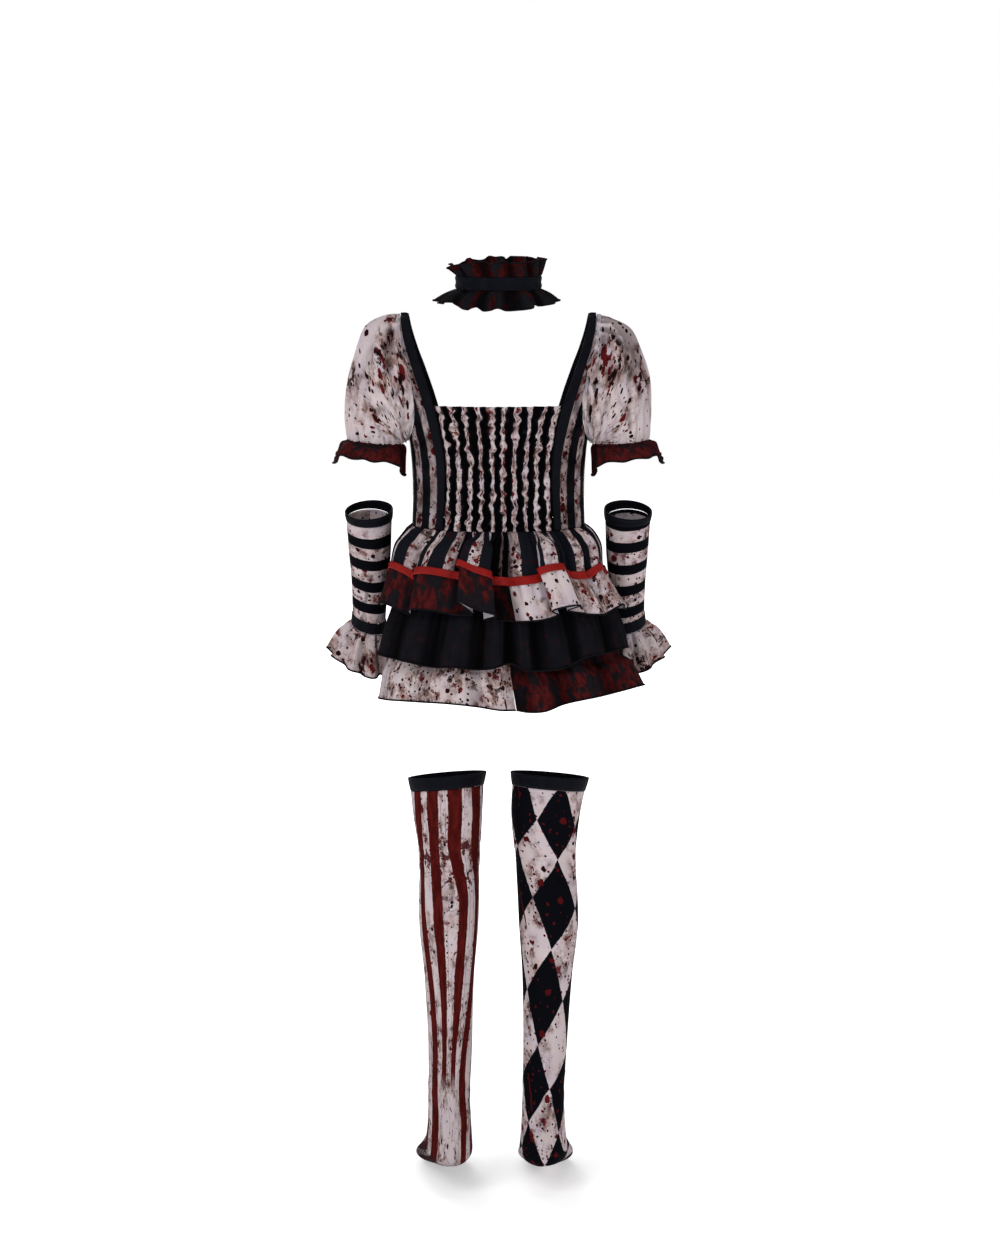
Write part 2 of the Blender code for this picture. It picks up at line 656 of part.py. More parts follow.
def leg_rows(side, heights, proud, columns=18):
    """Level rings round the leg. Those at the top rise towards the back and the inner side."""
    rows = []
    for z in heights:
        left_x, right_x, y, half_width, half_depth = between(LEG, z)
        x = left_x if side > 0 else right_x
        share = min(max((z - LEG[2][0]) / (LEG[1][0] - LEG[2][0]), 0.0), 1.0)
        row = []
        for j in range(columns):
            turn = 2 * pi * j / columns
            rise = share * (STOCKING_BACK_RISE * sin(turn) - STOCKING_INNER_RISE * side * cos(turn))
            across, along = (half_width + proud) * cos(turn), (half_depth + proud) * sin(turn)
            row.append(Vector((x + across, y + along, z + rise)))
        rows.append(row)
    return rows


def foot_rows(side, columns=18):
    """Rings that turn from level at the ankle to upright at the toes."""
    ankle_x = LEG[-1][1] if side > 0 else LEG[-1][2]
    rows = []
    for front_y, front_z, sole_y, sole_z, half_width in FOOT:
        front, sole = Vector((0, front_y, front_z)), Vector((0, sole_y, sole_z))
        centre, half = (front + sole) / 2, (sole - front) / 2
        row = []
        for j in range(columns):
            turn = 2 * pi * j / columns
            point = centre + half * sin(turn) + Vector((half_width * cos(turn), 0, 0))
            point.x += ankle_x - side * TOE_OUT[side] * point.y
            row.append(point)
        rows.append(row)
    return rows


def make_stockings(red_stripes, diamonds, black):
    for name, side, material in (("left", 1, red_stripes), ("right", -1, diamonds)):
        heights = [LEG[1][0] - SEAM] + [row[0] for row in LEG[2:]]
        rows = leg_rows(side, heights, 0.0) + foot_rows(side)
        ankle_x = LEG[-1][1] if side > 0 else LEG[-1][2]
        tip = Vector((ankle_x - side * TOE_OUT[side] * TOE_TIP[0], *TOE_TIP))
        cloth(f"stocking_{name}", rows, KNIT, material, closed=True, toe=tip)
        band = leg_rows(side, (LEG[0][0], LEG[1][0]), LEG_BAND_PROUD)
        cloth(f"stocking_band_{name}", band, TAPE, black, closed=True)


def main():
    for left_over in list(bpy.data.objects):
        bpy.data.objects.remove(left_over)
    stripes = finish("striped_cotton", BONE, 0.8)
    splatter = finish("splattered_cotton", BONE, 0.8)
    mottle = finish("red_black_cotton", BLOOD, 0.75)
    black = finish("black_cotton", INK, 0.75)
    scarlet = finish("red_ribbon", SCARLET, 0.55)
    knit = finish("printed_knit", BONE, 0.85)
    make_bodice(stripes, black)
    make_sleeves(splatter, mottle)
    make_skirt(stripes, splatter, mottle, black, scarlet)
    make_choker(black, mottle)
    make_arm_warmers(knit, splatter, black)
    make_stockings(knit, knit, black)


if __name__ == "__main__":
    main()
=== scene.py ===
"""Dresses the solids of a child's clown costume in their cloth, trims and finishes.

Each piece is a sheet of cloth on a named surface: a surface takes v, the share of the way down the piece,
and gives a function that turns u, the share of the way across it, into a point. Seen from outside the
costume, u runs to the right and v runs down. Points are millimetres until they go into a mesh.

The wearer faces -Y, and +X is the wearer's left, as in the solids.
"""

from bisect import bisect_right
from functools import lru_cache
from math import acos, cos, floor, hypot, pi, radians, sin, sqrt

import bmesh
import bpy
from bpy.props import FloatProperty, FloatVectorProperty, PointerProperty
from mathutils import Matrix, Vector, noise


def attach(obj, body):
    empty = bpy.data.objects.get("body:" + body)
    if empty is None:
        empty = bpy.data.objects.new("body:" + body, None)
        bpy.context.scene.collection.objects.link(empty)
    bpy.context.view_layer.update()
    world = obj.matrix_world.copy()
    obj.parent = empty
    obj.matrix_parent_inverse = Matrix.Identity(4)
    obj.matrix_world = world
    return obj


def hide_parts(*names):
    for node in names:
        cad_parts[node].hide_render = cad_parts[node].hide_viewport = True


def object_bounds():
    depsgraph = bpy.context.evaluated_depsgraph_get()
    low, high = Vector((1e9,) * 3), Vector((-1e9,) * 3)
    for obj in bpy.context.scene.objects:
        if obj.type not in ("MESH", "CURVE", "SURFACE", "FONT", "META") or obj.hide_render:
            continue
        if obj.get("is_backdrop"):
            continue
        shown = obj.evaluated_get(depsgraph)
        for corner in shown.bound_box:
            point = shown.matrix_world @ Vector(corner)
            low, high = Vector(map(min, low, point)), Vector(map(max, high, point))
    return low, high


bl_info = {
    "name": "Clown costume",
    "version": (1, 0, 0),
    "blender": (4, 5, 0),
    "location": "3D View > Sidebar > Costume",
    "description": "Cloth, trims and finishes of a child's clown costume",
    "category": "Object",
}

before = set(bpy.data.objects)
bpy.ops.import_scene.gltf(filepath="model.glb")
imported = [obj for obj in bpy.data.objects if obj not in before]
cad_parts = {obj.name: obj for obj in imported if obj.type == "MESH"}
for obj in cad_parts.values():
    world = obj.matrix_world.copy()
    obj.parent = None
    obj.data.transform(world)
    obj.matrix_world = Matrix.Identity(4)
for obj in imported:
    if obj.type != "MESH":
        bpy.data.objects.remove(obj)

MM = 0.001
STEP = 0.002  # share of a surface between the points that give its slope
JOINED = 0.00002  # metres between points of a sheet that are made one
ROLL_SIDES = 6  # faces round a rolled hem
ROLL_GIRTH = 6.0  # millimetres of cloth round a rolled hem
ROLL_STEPS = 60  # along a rolled hem, where its length is measured

# Bodice
WAIST_Z = -248.0
CHEST_Z = -102.0
ARMHOLE_Z = -145.0
BODY_POWER = 2.3  # of the bodice's section, where 2 is an ellipse
SHOULDER_HALF_WIDTH = 140.0
SHOULDER_SHARE = 0.49  # of the length of a side panel, which lies over the shoulder
SEAM = 0.8  # gap between pieces at a seam
SIDE_SEAM_TURN = 0.0035  # where a side panel starts, as its angle round the bodice
SHIRR_RIDGES = 9.67  # across the shirred back
FIRST_RIDGE = 0.27  # widths of a ridge from the edge of the back to the middle of its first ridge
SHIRR_ROWS = 10
SHIRRED_LENGTH = 190.0  # of the flat cloth, as the next
SIDE_PANEL_LENGTH = 262.0
FRONT_NECK_Z = -128.0
FRONT_BINDING = 10.0

# Sleeves and skirt
CUFF_CENTRE = Vector((146.0, 0.0, -149.0))
HEAD_OVERLAP = 4.0  # how far the gathered head of a sleeve rolls in over the side panel
HEAD_LIFT = 0.8  # and how far above it
HEAD_GATHERS = 26
CUFF_GATHERS = 19
SKIRT_POWER = 2.15  # of the skirt's section
RISE_LEAD = 1.3  # how much sooner down a tier the folds rise in full than they stand out in full
PEPLUM_LOW_Z = -298.4
PEPLUM_BAND_Z = (-299.4, -344.0)
RIBBON_Z = (-294.9, -304.2)
HEM_STEPS = 8  # between one fold of a hem and the next, where its length is measured
DEEPEST_HOLLOW = 12.0  # hollows that are deeper than this get no darker painted shade
PLEAT_HALF_WIDTH = 13.0
LEVEL_STRIPE = 6.2  # half width of a stripe of the peplum that neither stands out nor lies in a tuck

# Choker, wrists
NECK_RADIUS = 50.0
CHOKER_WAVES = 12
WRIST_WAVES = 10
WRIST_RADIUS = 20.0

BODY = (  # z, half width, half depth
    (-250.0, 103.0, 72.0),
    (-200.0, 102.0, 75.0),
    (-150.0, 105.5, 78.0),
    (-102.0, 114.0, 77.0),
)
STRAP = (  # z, x of the tape's inner and outer edges
    (-248.0, 65.5, 73.5),
    (-205.0, 63.0, 71.5),
    (-165.0, 63.5, 73.0),
    (-125.0, 70.0, 81.0),
    (-90.0, 79.8, 91.0),
    (-59.0, 90.3, 101.0),
    (-36.0, 98.0, 108.5),
    (-14.0, 103.7, 113.8),
    (0.0, 106.0, 115.5),
)
ARMHOLE = (  # z, x of the seam that joins the sleeve
    (-145.0, 105.4),
    (-137.0, 103.0),
    (-112.0, 98.5),
    (-86.0, 102.0),
    (-59.0, 109.0),
    (-44.0, 113.8),
    (-8.0, 119.0),
    (0.0, 120.0),
)
SLEEVE = (  # x and z on the outer side, x and z on the inner side, half depth
    (139.0, 1.0, 107.0, -148.5, 53.0),
    (158.5, -13.0, 108.0, -149.5, 56.0),
    (171.5, -45.0, 109.2, -150.2, 54.0),
    (180.5, -80.0, 110.5, -150.8, 49.0),
    (182.5, -115.0, 111.8, -151.2, 42.0),
    (179.0, -146.5, 113.0, -151.5, 33.0),
)
SLEEVE_RUFFLE = (  # drop below the cuff, out towards the hand, radius, wave, tilt in degrees, lift, spread
    (1.5, 0.3, 33.4, 0.8, 4.5, 0.0, 0.0),
    (5.0, 2.6, 37.8, 1.2, 5.5, 1.0, 1.0),
    (15.0, 4.6, 39.0, 1.6, 7.5, 5.0, 4.0),
    (32.0, 8.0, 41.5, 2.2, 7.5, 14.0, 6.0),
)
PEPLUM = (  # z, half width, half depth, centre x, share of the folds
    (-248.5, 104.5, 73.5, 0.0, 0.00),
    (-258.0, 114.0, 81.0, -0.8, 0.16),
    (-272.0, 123.0, 91.0, 0.4, 0.42),
    (-294.4, 126.0, 100.5, 2.0, 0.62),
    (-304.0, 128.8, 103.5, 1.0, 0.72),
    (-344.0, 147.0, 118.0, -5.0, 1.00),
)
MIDDLE_TIER = (  # z, half width, half depth, centre x, share of the folds
    (-249.0, 101.5, 70.5, 0.0, 0.00),
    (-298.0, 108.5, 81.0, 0.0, 0.22),
    (-344.0, 128.5, 100.0, -4.0, 0.50),
    (-376.0, 139.5, 112.0, -4.5, 0.80),
    (-407.0, 147.0, 121.0, -4.5, 1.00),
)
LOWER_TIER = (  # z, half width, half depth, centre x, share of the folds
    (-374.0, 130.0, 102.0, -5.0, 0.40),
    (-410.0, 138.5, 110.5, -5.5, 0.45),
    (-421.0, 147.0, 120.0, -7.0, 0.70),
    (-451.0, 157.5, 129.0, -11.5, 1.00),
)
# Flutes and the hollows between them: angle from the back centre towards the wearer's left, how far the
# hem stands out there, and how far it rises. Where the angle steps back, a flute overhangs its neighbour.
UPPER_FOLDS = (  # angle, out, rise
    (-8, -12, -6), (-3, -13, -5), (11, -9, -3), (4, 10, 5), (13.5, 19, 14), (23, 14, 22), (17, 0, 5),
    (27, -7, 2), (33, 0, 5), (44, 7, 8), (52, 4, 5), (57, -8, -3), (63, 2, 5), (70, 9, 9), (78, 3, 3),
    (84, -3, 0), (92, 2, -2), (104, -16, -5), (119, 0, 0), (131, 6, 0), (142, -5, -2), (153, -1, 1),
    (164, 2, 0), (172, -5, -2), (183, 2, 0), (194, -4, -1), (205, 5, 0), (216, -4, -1), (228, 5, 0),
    (241, 0, 0), (256, -16, -4), (270, 2, -5), (279, 0, -4), (290, 6, 6), (299, -3, -3), (305, 6, -1),
    (311.5, -4, 0), (316, 5, 3), (319.5, -4, 4), (323, -2, 7), (319, 8, 13), (327, 13, 14), (334, 9, 9),
    (328.5, -3, 2), (336, 1, -2), (344, 4, -3),
)
MIDDLE_FOLDS = (  # angle, out, rise
    (-5, -6, 9), (5, 4, 5), (14, -4, 2), (27, 5, 5), (40, -4, 2), (52, 6, 7), (64, -4, 5), (76, 4, 6),
    (90, 0, 1), (109, -15, -6), (126, 0, 0), (134, 4, 0), (146, -4, -1), (158, 5, 1), (170, -4, -1),
    (180, 4, 1), (190, -4, -1), (202, 5, 1), (214, -4, -1), (226, 4, 0), (234, 0, 0), (251, -15, 2),
    (270, 2, 9), (284, 6, 15), (296, -4, 13), (308, 5, 15), (314, 3, 14), (318, -4, 8), (329, 5, 3),
    (340, -4, 0), (348, 4, 3),
)
LOWER_FOLDS = (  # angle, out, rise
    (-4.3, -5, -1), (4, 5, 1), (17, -5, 3), (31, 5, 7), (46, -5, 4), (60, 6, 3), (74, -4, -3),
    (90, -2, -8), (111, -22, -8), (128, -2, -2), (137, -4, -2), (150, 5, 0), (163, 2, 0),
    (175.7, -4, -2), (188, 3, 0), (202, -4, -1), (218, 4, 0), (232, -2, 0), (249, -22, 0), (270, 4, 8),
    (288, 8, 15), (304, -5, 11), (317, 6, 12), (330, -5, 5), (342, 5, -1), (350, -4, -3),
)
PEPLUM_STRIPES = (  # distance along the hem of the middle of each bone stripe, and half its width
    (12.0, 12.2), (77.0, 2.2), (97.8, 10.2), (145.0, 4.0), (192.6, 10.4), (228.0, 9.0), (270.0, 4.5),
    (314.0, 9.0), (351.0, 4.5), (389.0, 9.0), (426.0, 4.5), (463.0, 9.0), (500.0, 5.0), (537.0, 9.0),
    (575.0, 4.5), (612.0, 9.0), (649.0, 4.5), (686.0, 9.0), (724.0, 4.5), (767.0, 7.0), (829.0, 19.5),
    (863.0, 4.5), (901.0, 8.2), (943.0, 6.0), (986.8, 8.2), (1030.0, 4.0), (1067.3, 1.8),
    (1090.0, 12.2),
)
SLEEVE_CUT = (235.0, 185.0)  # width and length of the flat sleeve
SLEEVE_STAIN = {"left": (54.0, 54.0), "right": (192.0, 54.0)}  # middle of its heaviest splashes
SLEEVE_STAIN_SIZE = (26.0, 34.0)  # across and down
SLEEVE_FOLDS = {  # x, y, x and y of the ends of a fold on the flat sleeve, how far out it is, half its width
    "left": (
        (25.9, 48, 50.2, 62, -5.5, 8.6), (21.1, 62, 47, 80, 2.4, 8.1), (55.9, 101, 34.8, 165, 2.6, 5.9),
        (50.2, 116, 39.7, 149, -2.4, 5.4), (85.1, 82, 45.4, 177, 2.6, 5.4), (59.2, 46, 74.6, 72, -3.0, 3.2),
        (68.9, 95, 53.5, 140, -1.8, 4.5),
    ),
    "right": (
        (215.6, 28, 215.6, 52, 2.2, 4.1), (215.6, 52, 208.3, 74, 2.2, 4.1), (211.5, 30, 210.7, 56, -2.2, 3.2),
        (208.3, 34, 206.6, 56, 2.0, 3.2), (206.6, 56, 196.9, 70, 2.0, 3.2), (211.5, 76, 196.1, 90, -3.0, 7.2),
        (203.4, 40, 196.9, 46, -2.6, 3.2), (175.8, 44, 174.2, 62, -2.2, 2.7),
        (172.6, 30, 152.3, 46, -3.4, 5.4), (185.6, 139, 186.4, 165, -2.0, 3.6),
        (194.5, 100, 183.1, 140, -1.8, 5.4),
    ),
}
COTTON_SPLASHES = (  # start of a cut on the print; x, y and radius of its red blots; those of its dark drops
    (
        (610, 0),
        ((49, 78, 3.0), (54, 42, 5.4), (57, 56, 2.4), (48, 97, 2.6), (58, 84, 3.5), (58, 151, 3.0),
         (48, 171, 2.6)),
        ((17, 78, 3.6), (15, 54, 2.1), (53, 129, 2.1), (70, 111, 2.2), (65, 129, 2.4), (64, 66, 2.2),
         (64, 46, 3.0), (78, 66, 2.2), (74, 42, 3.6), (24, 150, 1.9), (24, 156, 2.2), (26, 105, 2.2),
         (46, 109, 2.5), (50, 105, 2.2), (62, 101, 2.1), (30, 52, 2.6), (35, 173, 2.2)),
    ),
    (
        (710, 0),
        ((194, 48, 5.9), (189, 54, 4.3), (187, 34, 3.2), (183, 54, 3.2), (184, 64, 2.8), (177, 135, 5.0),
         (178, 148, 2.4), (180, 161, 2.2)),
        ((220, 74, 2.2), (212, 103, 2.2), (215, 121, 1.6), (207, 129, 1.6), (211, 40, 2.6), (193, 74, 1.9),
         (190, 79, 2.4), (176, 32, 3.0), (176, 46, 2.4), (169, 52, 3.5), (172, 101, 2.5), (170, 141, 2.4),
         (186, 167, 2.2), (153, 93, 2.1), (159, 84, 1.8), (138, 78, 2.2), (157, 46, 5.0), (183, 101, 2.3)),
    ),
    (
        (3000, 0),
        ((22, 39, 2.8), (8, 14, 3.2), (200, 29, 3.0)),
        ((35, 22, 1.4), (84, 39, 1.8), (33, 6, 1.3), (84, 16, 2.0), (229, 29, 3.4), (237, 43, 2.4),
         (167, 41, 2.4)),
    ),
    (
        (6000, 0),
        ((326, 45, 3.0), (344, 65, 2.4), (351, 79, 2.4)),
        ((359, 73, 1.6), (361, 78, 1.8), (363, 84, 2.6), (442, 46, 1.2), (440, 54, 1.3), (439, 62, 1.5),
         (440, 70, 1.5), (441, 78, 1.6), (453, 62, 1.4), (452, 70, 1.6), (451, 78, 2.0), (450, 84, 2.6),
         (392, 67, 2.4), (424, 69, 3.4), (505, 57, 3.4), (482, 57, 2.2), (427, 41, 2.0), (380, 55, 1.7)),
    ),
)
STRIPE_SPLASHES = (  # the same for the striped cotton
    (
        (0, 2300),
        ((-1, 27, 2.6), (731.9, 48, 2.0), (73.5, 26, 1.8)),
        ((0, 21, 3.4), (737, 4, 2.2), (757, 18, 2.8), (753, 34, 2.4), (65, 42, 2.0), (-2, 44, 1.8),
         (820, 42, 1.8)),
    ),
)
CHOKER_BAND = (  # z, radius, wave, lift on the left and on the right, centre x
    (47.0, NECK_RADIUS, 0.0, 0.0, 0.0, 0.0),
    (32.0, NECK_RADIUS, 0.0, 0.0, 0.0, 0.0),
)
CHOKER_UPPER_RUFFLE = (  # z, radius, wave, lift on the left and on the right, centre x
    (65.0, 54.5, 4.0, -8.0, 1.0, 4.5),
    (57.0, 52.8, 2.4, -4.0, 0.0, 2.5),
    (47.7, NECK_RADIUS, 0.8, 0.0, 0.0, 0.0),
)
CHOKER_LOWER_RUFFLE = (  # z, radius, wave, lift on the left and on the right, centre x
    (31.3, NECK_RADIUS, 0.8, 0.0, 0.0, 0.0),
    (24.0, 59.5, 2.4, 2.0, 2.0, 0.8),
    (11.0, 68.0, 4.5, 7.0, 7.0, 2.0),
)
ARM_LEAN = 0.29  # how far a ring round the forearm drops for each millimetre towards the back
ARM = (  # z, x, y, radius, rise for each millimetre outwards, from the elbow to the wrist
    (-233.5, 155.2, -12.5, 28.0, -0.06),
    (-243.5, 155.0, -15.0, 27.2, 0.00),
    (-285.0, 154.8, -25.0, 25.3, 0.08),
    (-322.0, 155.5, -35.5, 22.2, 0.14),
    (-368.6, 157.3, -53.0, 19.9, 0.24),
    (-381.8, 158.5, -58.5, 19.8, 0.26),
)
WRIST_RUFFLE = (  # z, x, y, radius, wave, share of the wristband's slant
    (-383.1, 158.5, -59.0, 20.0, 1.2, 1.0),
    (-404.0, 161.0, -66.0, 31.0, 3.0, 0.7),
    (-436.0, 164.0, -75.0, 42.0, 5.0, 0.3),
)
LEG = (  # z, x on the left leg, x on the right leg, y, half width, half depth
    (-554.0, 62.0, -62.0, 0.0, 47.0, 48.0),
    (-569.5, 62.0, -60.5, 0.0, 44.0, 46.0),
    (-600.0, 61.5, -57.0, 0.0, 41.8, 44.0),
    (-632.0, 60.0, -56.5, -1.0, 38.8, 41.5),
    (-665.0, 59.7, -57.5, -2.0, 36.5, 40.0),
    (-735.0, 60.6, -61.0, 5.0, 36.0, 40.0),
    (-805.0, 60.0, -59.2, 4.0, 30.3, 33.5),
    (-880.0, 59.1, -57.0, 2.0, 27.0, 29.0),
    (-948.0, 60.4, -55.0, 1.0, 25.6, 27.5),
)
FOOT = (  # instep y, instep z, sole y, sole z, half width
    (-29.0, -974.0, 31.0, -981.0, 26.2),
    (-38.0, -990.0, 35.0, -1008.0, 27.4),
    (-50.0, -1003.0, 30.0, -1034.0, 28.8),
    (-64.0, -1015.0, 4.0, -1046.0, 30.4),
    (-86.0, -1031.0, -44.0, -1060.0, 32.4),
    (-111.0, -1047.0, -97.0, -1075.0, 34.5),
    (-133.0, -1060.0, -129.0, -1081.0, 29.5),
    (-146.0, -1069.0, -145.0, -1080.0, 17.0),
)
TOE_TIP = Vector((0.0, -150.0, -1075.0))
TOE_OUT = {1: 0.09, -1: 0.045}  # how far the left and right toes turn out for each millimetre forwards
STOCKING_BACK_RISE = 6.5
STOCKING_INNER_RISE = 4.0
KNEE = 650.0  # on the flat stockings, whose y is the height below the shoulders
HEEL = (1010.0, 1045.0)  # where the foot starts to darken towards black, and where it is darkest

# How the two printed knits lie on the legs
RED_STRIPES = (  # z, arcs from the back to the middles of four red stripes, their half width as a share
    (-599.0, -43.0, -19.4, 8.9, 45.0, 0.30),
    (-639.0, -43.0, -18.9, 6.0, 41.0, 0.28),
    (-707.0, -40.0, -15.5, 22.2, 45.0, 0.22),
    (-801.0, -25.6, -8.0, 12.8, 38.0, 0.25),
    (-895.0, -18.9, -6.9, 5.0, 17.6, 0.25),
    (-958.0, -19.0, -6.0, 5.0, 16.2, 0.30),
    (-1014.0, -28.0, -9.0, 6.0, 18.0, 0.30),
)
RED_STRIPE_PITCH = 26.0  # beyond the four
RED_STRIPE_CUT = 38.0  # from one red stripe of the flat knit to the next
WORN_OFF = (915.0, 950.0)  # where the two middle red stripes start to be worn away, and where they are gone
DIAMOND_CUT = (51.0, 100.0)  # width and height of a diamond of the flat knit
BAND_PITCH = 28.4  # of the arm warmers: a black and a bone band together

# Threads
THREAD = 0.7  # pitch of the cotton's weave
KNIT_RIB = 1.3
KNIT_ROW = 0.9
SATIN_RIB = 0.9
TAPE_RIB = 1.1
STITCH = 2.8  # pitch of the stitches of a tape
STITCH_ROW = 1.8  # from the edge of a tape to its stitches
DIAMONDS = (  # z, print row, arc from the back to the print's middle line, width of a diamond
    (-560.0, -0.5, 16.3, 56.0),
    (-607.0, 0.0, 17.0, 57.0),
    (-654.0, 0.5, 15.4, 60.0),
    (-707.5, 1.0, 11.0, 64.0),
    (-761.0, 1.5, 3.2, 58.0),
    (-822.5, 2.0, -3.6, 53.0),
    (-884.0, 2.5, -9.4, 49.0),
    (-932.0, 3.0, -15.0, 46.0),
    (-980.0, 3.5, -20.1, 45.0),
    (-1018.0, 4.0, -18.6, 44.0),
    (-1085.0, 4.8, -18.6, 44.0),
)


# Stage, in metres
LAMPS = (  # name, place, size, power in watts
    ("key", (1.8, 3.2, 2.2), 1.8, 78.0),
    ("fill", (-3.0, 2.6, 0.6), 2.4, 22.0),
    ("top", (0.0, 0.2, 2.6), 2.0, 22.0),
    ("front", (1.4, -3.6, 1.4), 2.2, 60.0),
)
LAMP_AIM = (0, 0, -0.5)
CAMERA_PLACE = (-0.0018, 4.0, 0.28)
CAMERA_AIM = (-0.0018, 0.0, -0.371)
CAMERA_LENS = 97.26  # millimetres, as the next
FILM = 36.0
FLOOR_RADIUS = 7.0
FLOOR_GAP = 0.0005
STUDIO_LIGHT = 0.42  # strength of the light from all round; what the camera sees of it is white


def colour_property(name, what, default):
    """A colour in the panel."""
    return FloatVectorProperty(name=name, description=what, subtype="COLOR", size=4, default=default)


def length_property(name, what, default, least=0.0003):
    """A length in the panel, in metres."""
    return FloatProperty(name=name, description=what, default=default, min=least, unit="LENGTH")


class CostumeColours(bpy.types.PropertyGroup):
    """Colours of the cloths and trims."""

    bone: colour_property("Bone", "Off-white cotton and knit", (0.48, 0.41, 0.42, 1.0))
    ink: colour_property("Ink", "Black tape and knit", (0.0026, 0.0028, 0.0044, 1.0))
    blood: colour_property("Blood", "Splashes and stains", (0.095, 0.0075, 0.0085, 1.0))
    scarlet: colour_property("Scarlet", "Satin ribbon", (0.20, 0.004, 0.0025, 1.0))
    brick: colour_property("Brick", "Red stripes of the left stocking", (0.125, 0.012, 0.0105, 1.0))
    reverse: colour_property("Reverse", "Wrong side of the printed cloths", (0.34, 0.32, 0.36, 1.0))


class CostumeSizes(bpy.types.PropertyGroup):
    """Sizes of the cloths and trims, in metres."""

    cloth: length_property("Cotton", "Thickness of the cotton", 0.0009)
    knit: length_property("Knit", "Thickness of the stretch knit", 0.0011)
    tape: length_property("Tape", "Thickness of the tapes and elastic bands", 0.0020)
    ribbon: length_property("Ribbon", "Thickness of the satin ribbon", 0.0007)
    hem: length_property("Rolled hem", "Radius of the overlocked hems", 0.0011)
    stripe: length_property("Stripe", "Width of a black and a bone stripe together", 0.032, 0.005)
    puff: length_property("Shirring", "Height of the shirred ridges", 0.0042, 0.0)


# ---------------------------------------------------------------- tables and curves


def between(table, key):
    """The columns of a table at a value of its first column, on a smooth curve through its rows."""
    rows = sorted(table)
    key = min(max(key, rows[0][0]), rows[-1][0])
    i = max(j for j, row in enumerate(rows[:-1]) if row[0] <= key or j == 0)
    low, high = rows[i], rows[i + 1]
    before, after = rows[max(i - 1, 0)], rows[min(i + 2, len(rows) - 1)]
    span = high[0] - low[0]
    t = (key - low[0]) / span
    found = []
    for a, b, c, d in zip(before[1:], low[1:], high[1:], after[1:]):
        leaving = span * (c - a) / (high[0] - before[0])
        arriving = span * (d - b) / (after[0] - low[0])
        found.append(
            (2 * t**3 - 3 * t**2 + 1) * b
            + (t**3 - 2 * t**2 + t) * leaving
            + (3 * t**2 - 2 * t**3) * c
            + (t**3 - t**2) * arriving
        )
    return found


def through(rows, t):
    """The columns of a list of rows at a fractional row number, on a smooth curve through the rows."""
    last = len(rows) - 1
    i = min(max(floor(t), 0), last - 1)
    s = t - i
    four = rows[max(i - 1, 0)], rows[i], rows[i + 1], rows[min(i + 2, last)]
    return [
        b + 0.5 * s * (c - a + s * (2 * a - 5 * b + 4 * c - d + s * (3 * b - a - 3 * c + d)))
        for a, b, c, d in zip(*four)
    ]


def closed_curve(points, t):
    """A point at a fractional point number on the smooth closed curve through some points."""
    count = len(points)
    i = floor(t)
    s = t - i
    a, b, c, d = (points[(i + k) % count] for k in (-1, 0, 1, 2))
    first, middle, last = (sqrt(max((q - p).length, 0.01)) for p, q in ((a, b), (b, c), (c, d)))
    leaving = c - b + middle * ((b - a) / first - (c - a) / (first + middle))
    arriving = c - b + middle * ((d - c) / last - (d - b) / (middle + last))
    bend = 2 * (b - c) + leaving + arriving
    return ((bend * s - 3 * (b - c) - 2 * leaving - arriving) * s + leaving) * s + b


def signed_power(value, power):
    """A power of a number's size, with its sign."""
    return abs(value) ** power * (1 if value >= 0 else -1)


def ease(value, low, high):
    """0 below low and 1 above high, and smooth between them."""
    t = min(max((value - low) / (high - low), 0.0), 1.0)
    return t * t * (3 - 2 * t)


def wobble(x, y, seed):
    """Smooth noise from -1 to 1 that changes over a distance of about 1."""
    return noise.noise(Vector((x, y, 7.3 * seed)))


def crease(x, y, seed):
    """Sharp ridges of noise, from 0 between the creases to 1 on them."""
    return (1 - min(abs(2.2 * wobble(x, y, seed)), 1.0)) ** 2


# ---------------------------------------------------------------- surfaces


def lifted(surface, distance):
    """The same surface, moved out along its normals. The distance is a number or a function of u and v."""

    def level(v):
        above, here, below = surface(max(v - STEP, 0.0)), surface(v), surface(min(v + STEP, 1.0))

        def place(u):
            down = below(u) - above(u)
            across = here(u + STEP) - here(u - STEP)
            far = distance(u, v) if callable(distance) else distance
            return here(u) + far * down.cross(across).normalized()

        return place

    return level


def twin_of(surface, side_sign, depth_sign):
    """A surface with x or y turned over. It runs the other way, so that its outside stays outside."""

    def level(v):
        row = surface(v)

        def place(u):
            point = row(1 - u)
            return Vector((side_sign * point.x, depth_sign * point.y, point.z))

        return place

    return level


def unchanged(surface):
    """The surface on the side that it was made for."""
    return surface


def mirrored(surface):
    """The twin of a surface on the other side of the body."""
    return twin_of(surface, -1, 1)


def to_front(surface):
    """The twin of a back surface on the front of the body."""
    return twin_of(surface, 1, -1)


SIDES = (("left", unchanged), ("right", mirrored))  # the surfaces are worked out for the wearer's left


def edge_of(surface, v, radius):
    """A thin roll round the edge of a surface at v. Its own v runs round the roll."""
    inside = abs(v - 0.5) * 2 * STEP * (1 if v > 0.5 else -1)
    edge, near = surface(v), surface(v - inside)

    def level(w):
        def place(u):
            out = (edge(u) - near(u)).normalized()
            normal = out.cross(edge(u + STEP) - edge(u - STEP)).normalized()
            return edge(u) + radius * (normal * cos(2 * pi * w) + out * sin(2 * pi * w))

        return place

    return level


# ---------------------------------------------------------------- making cloth


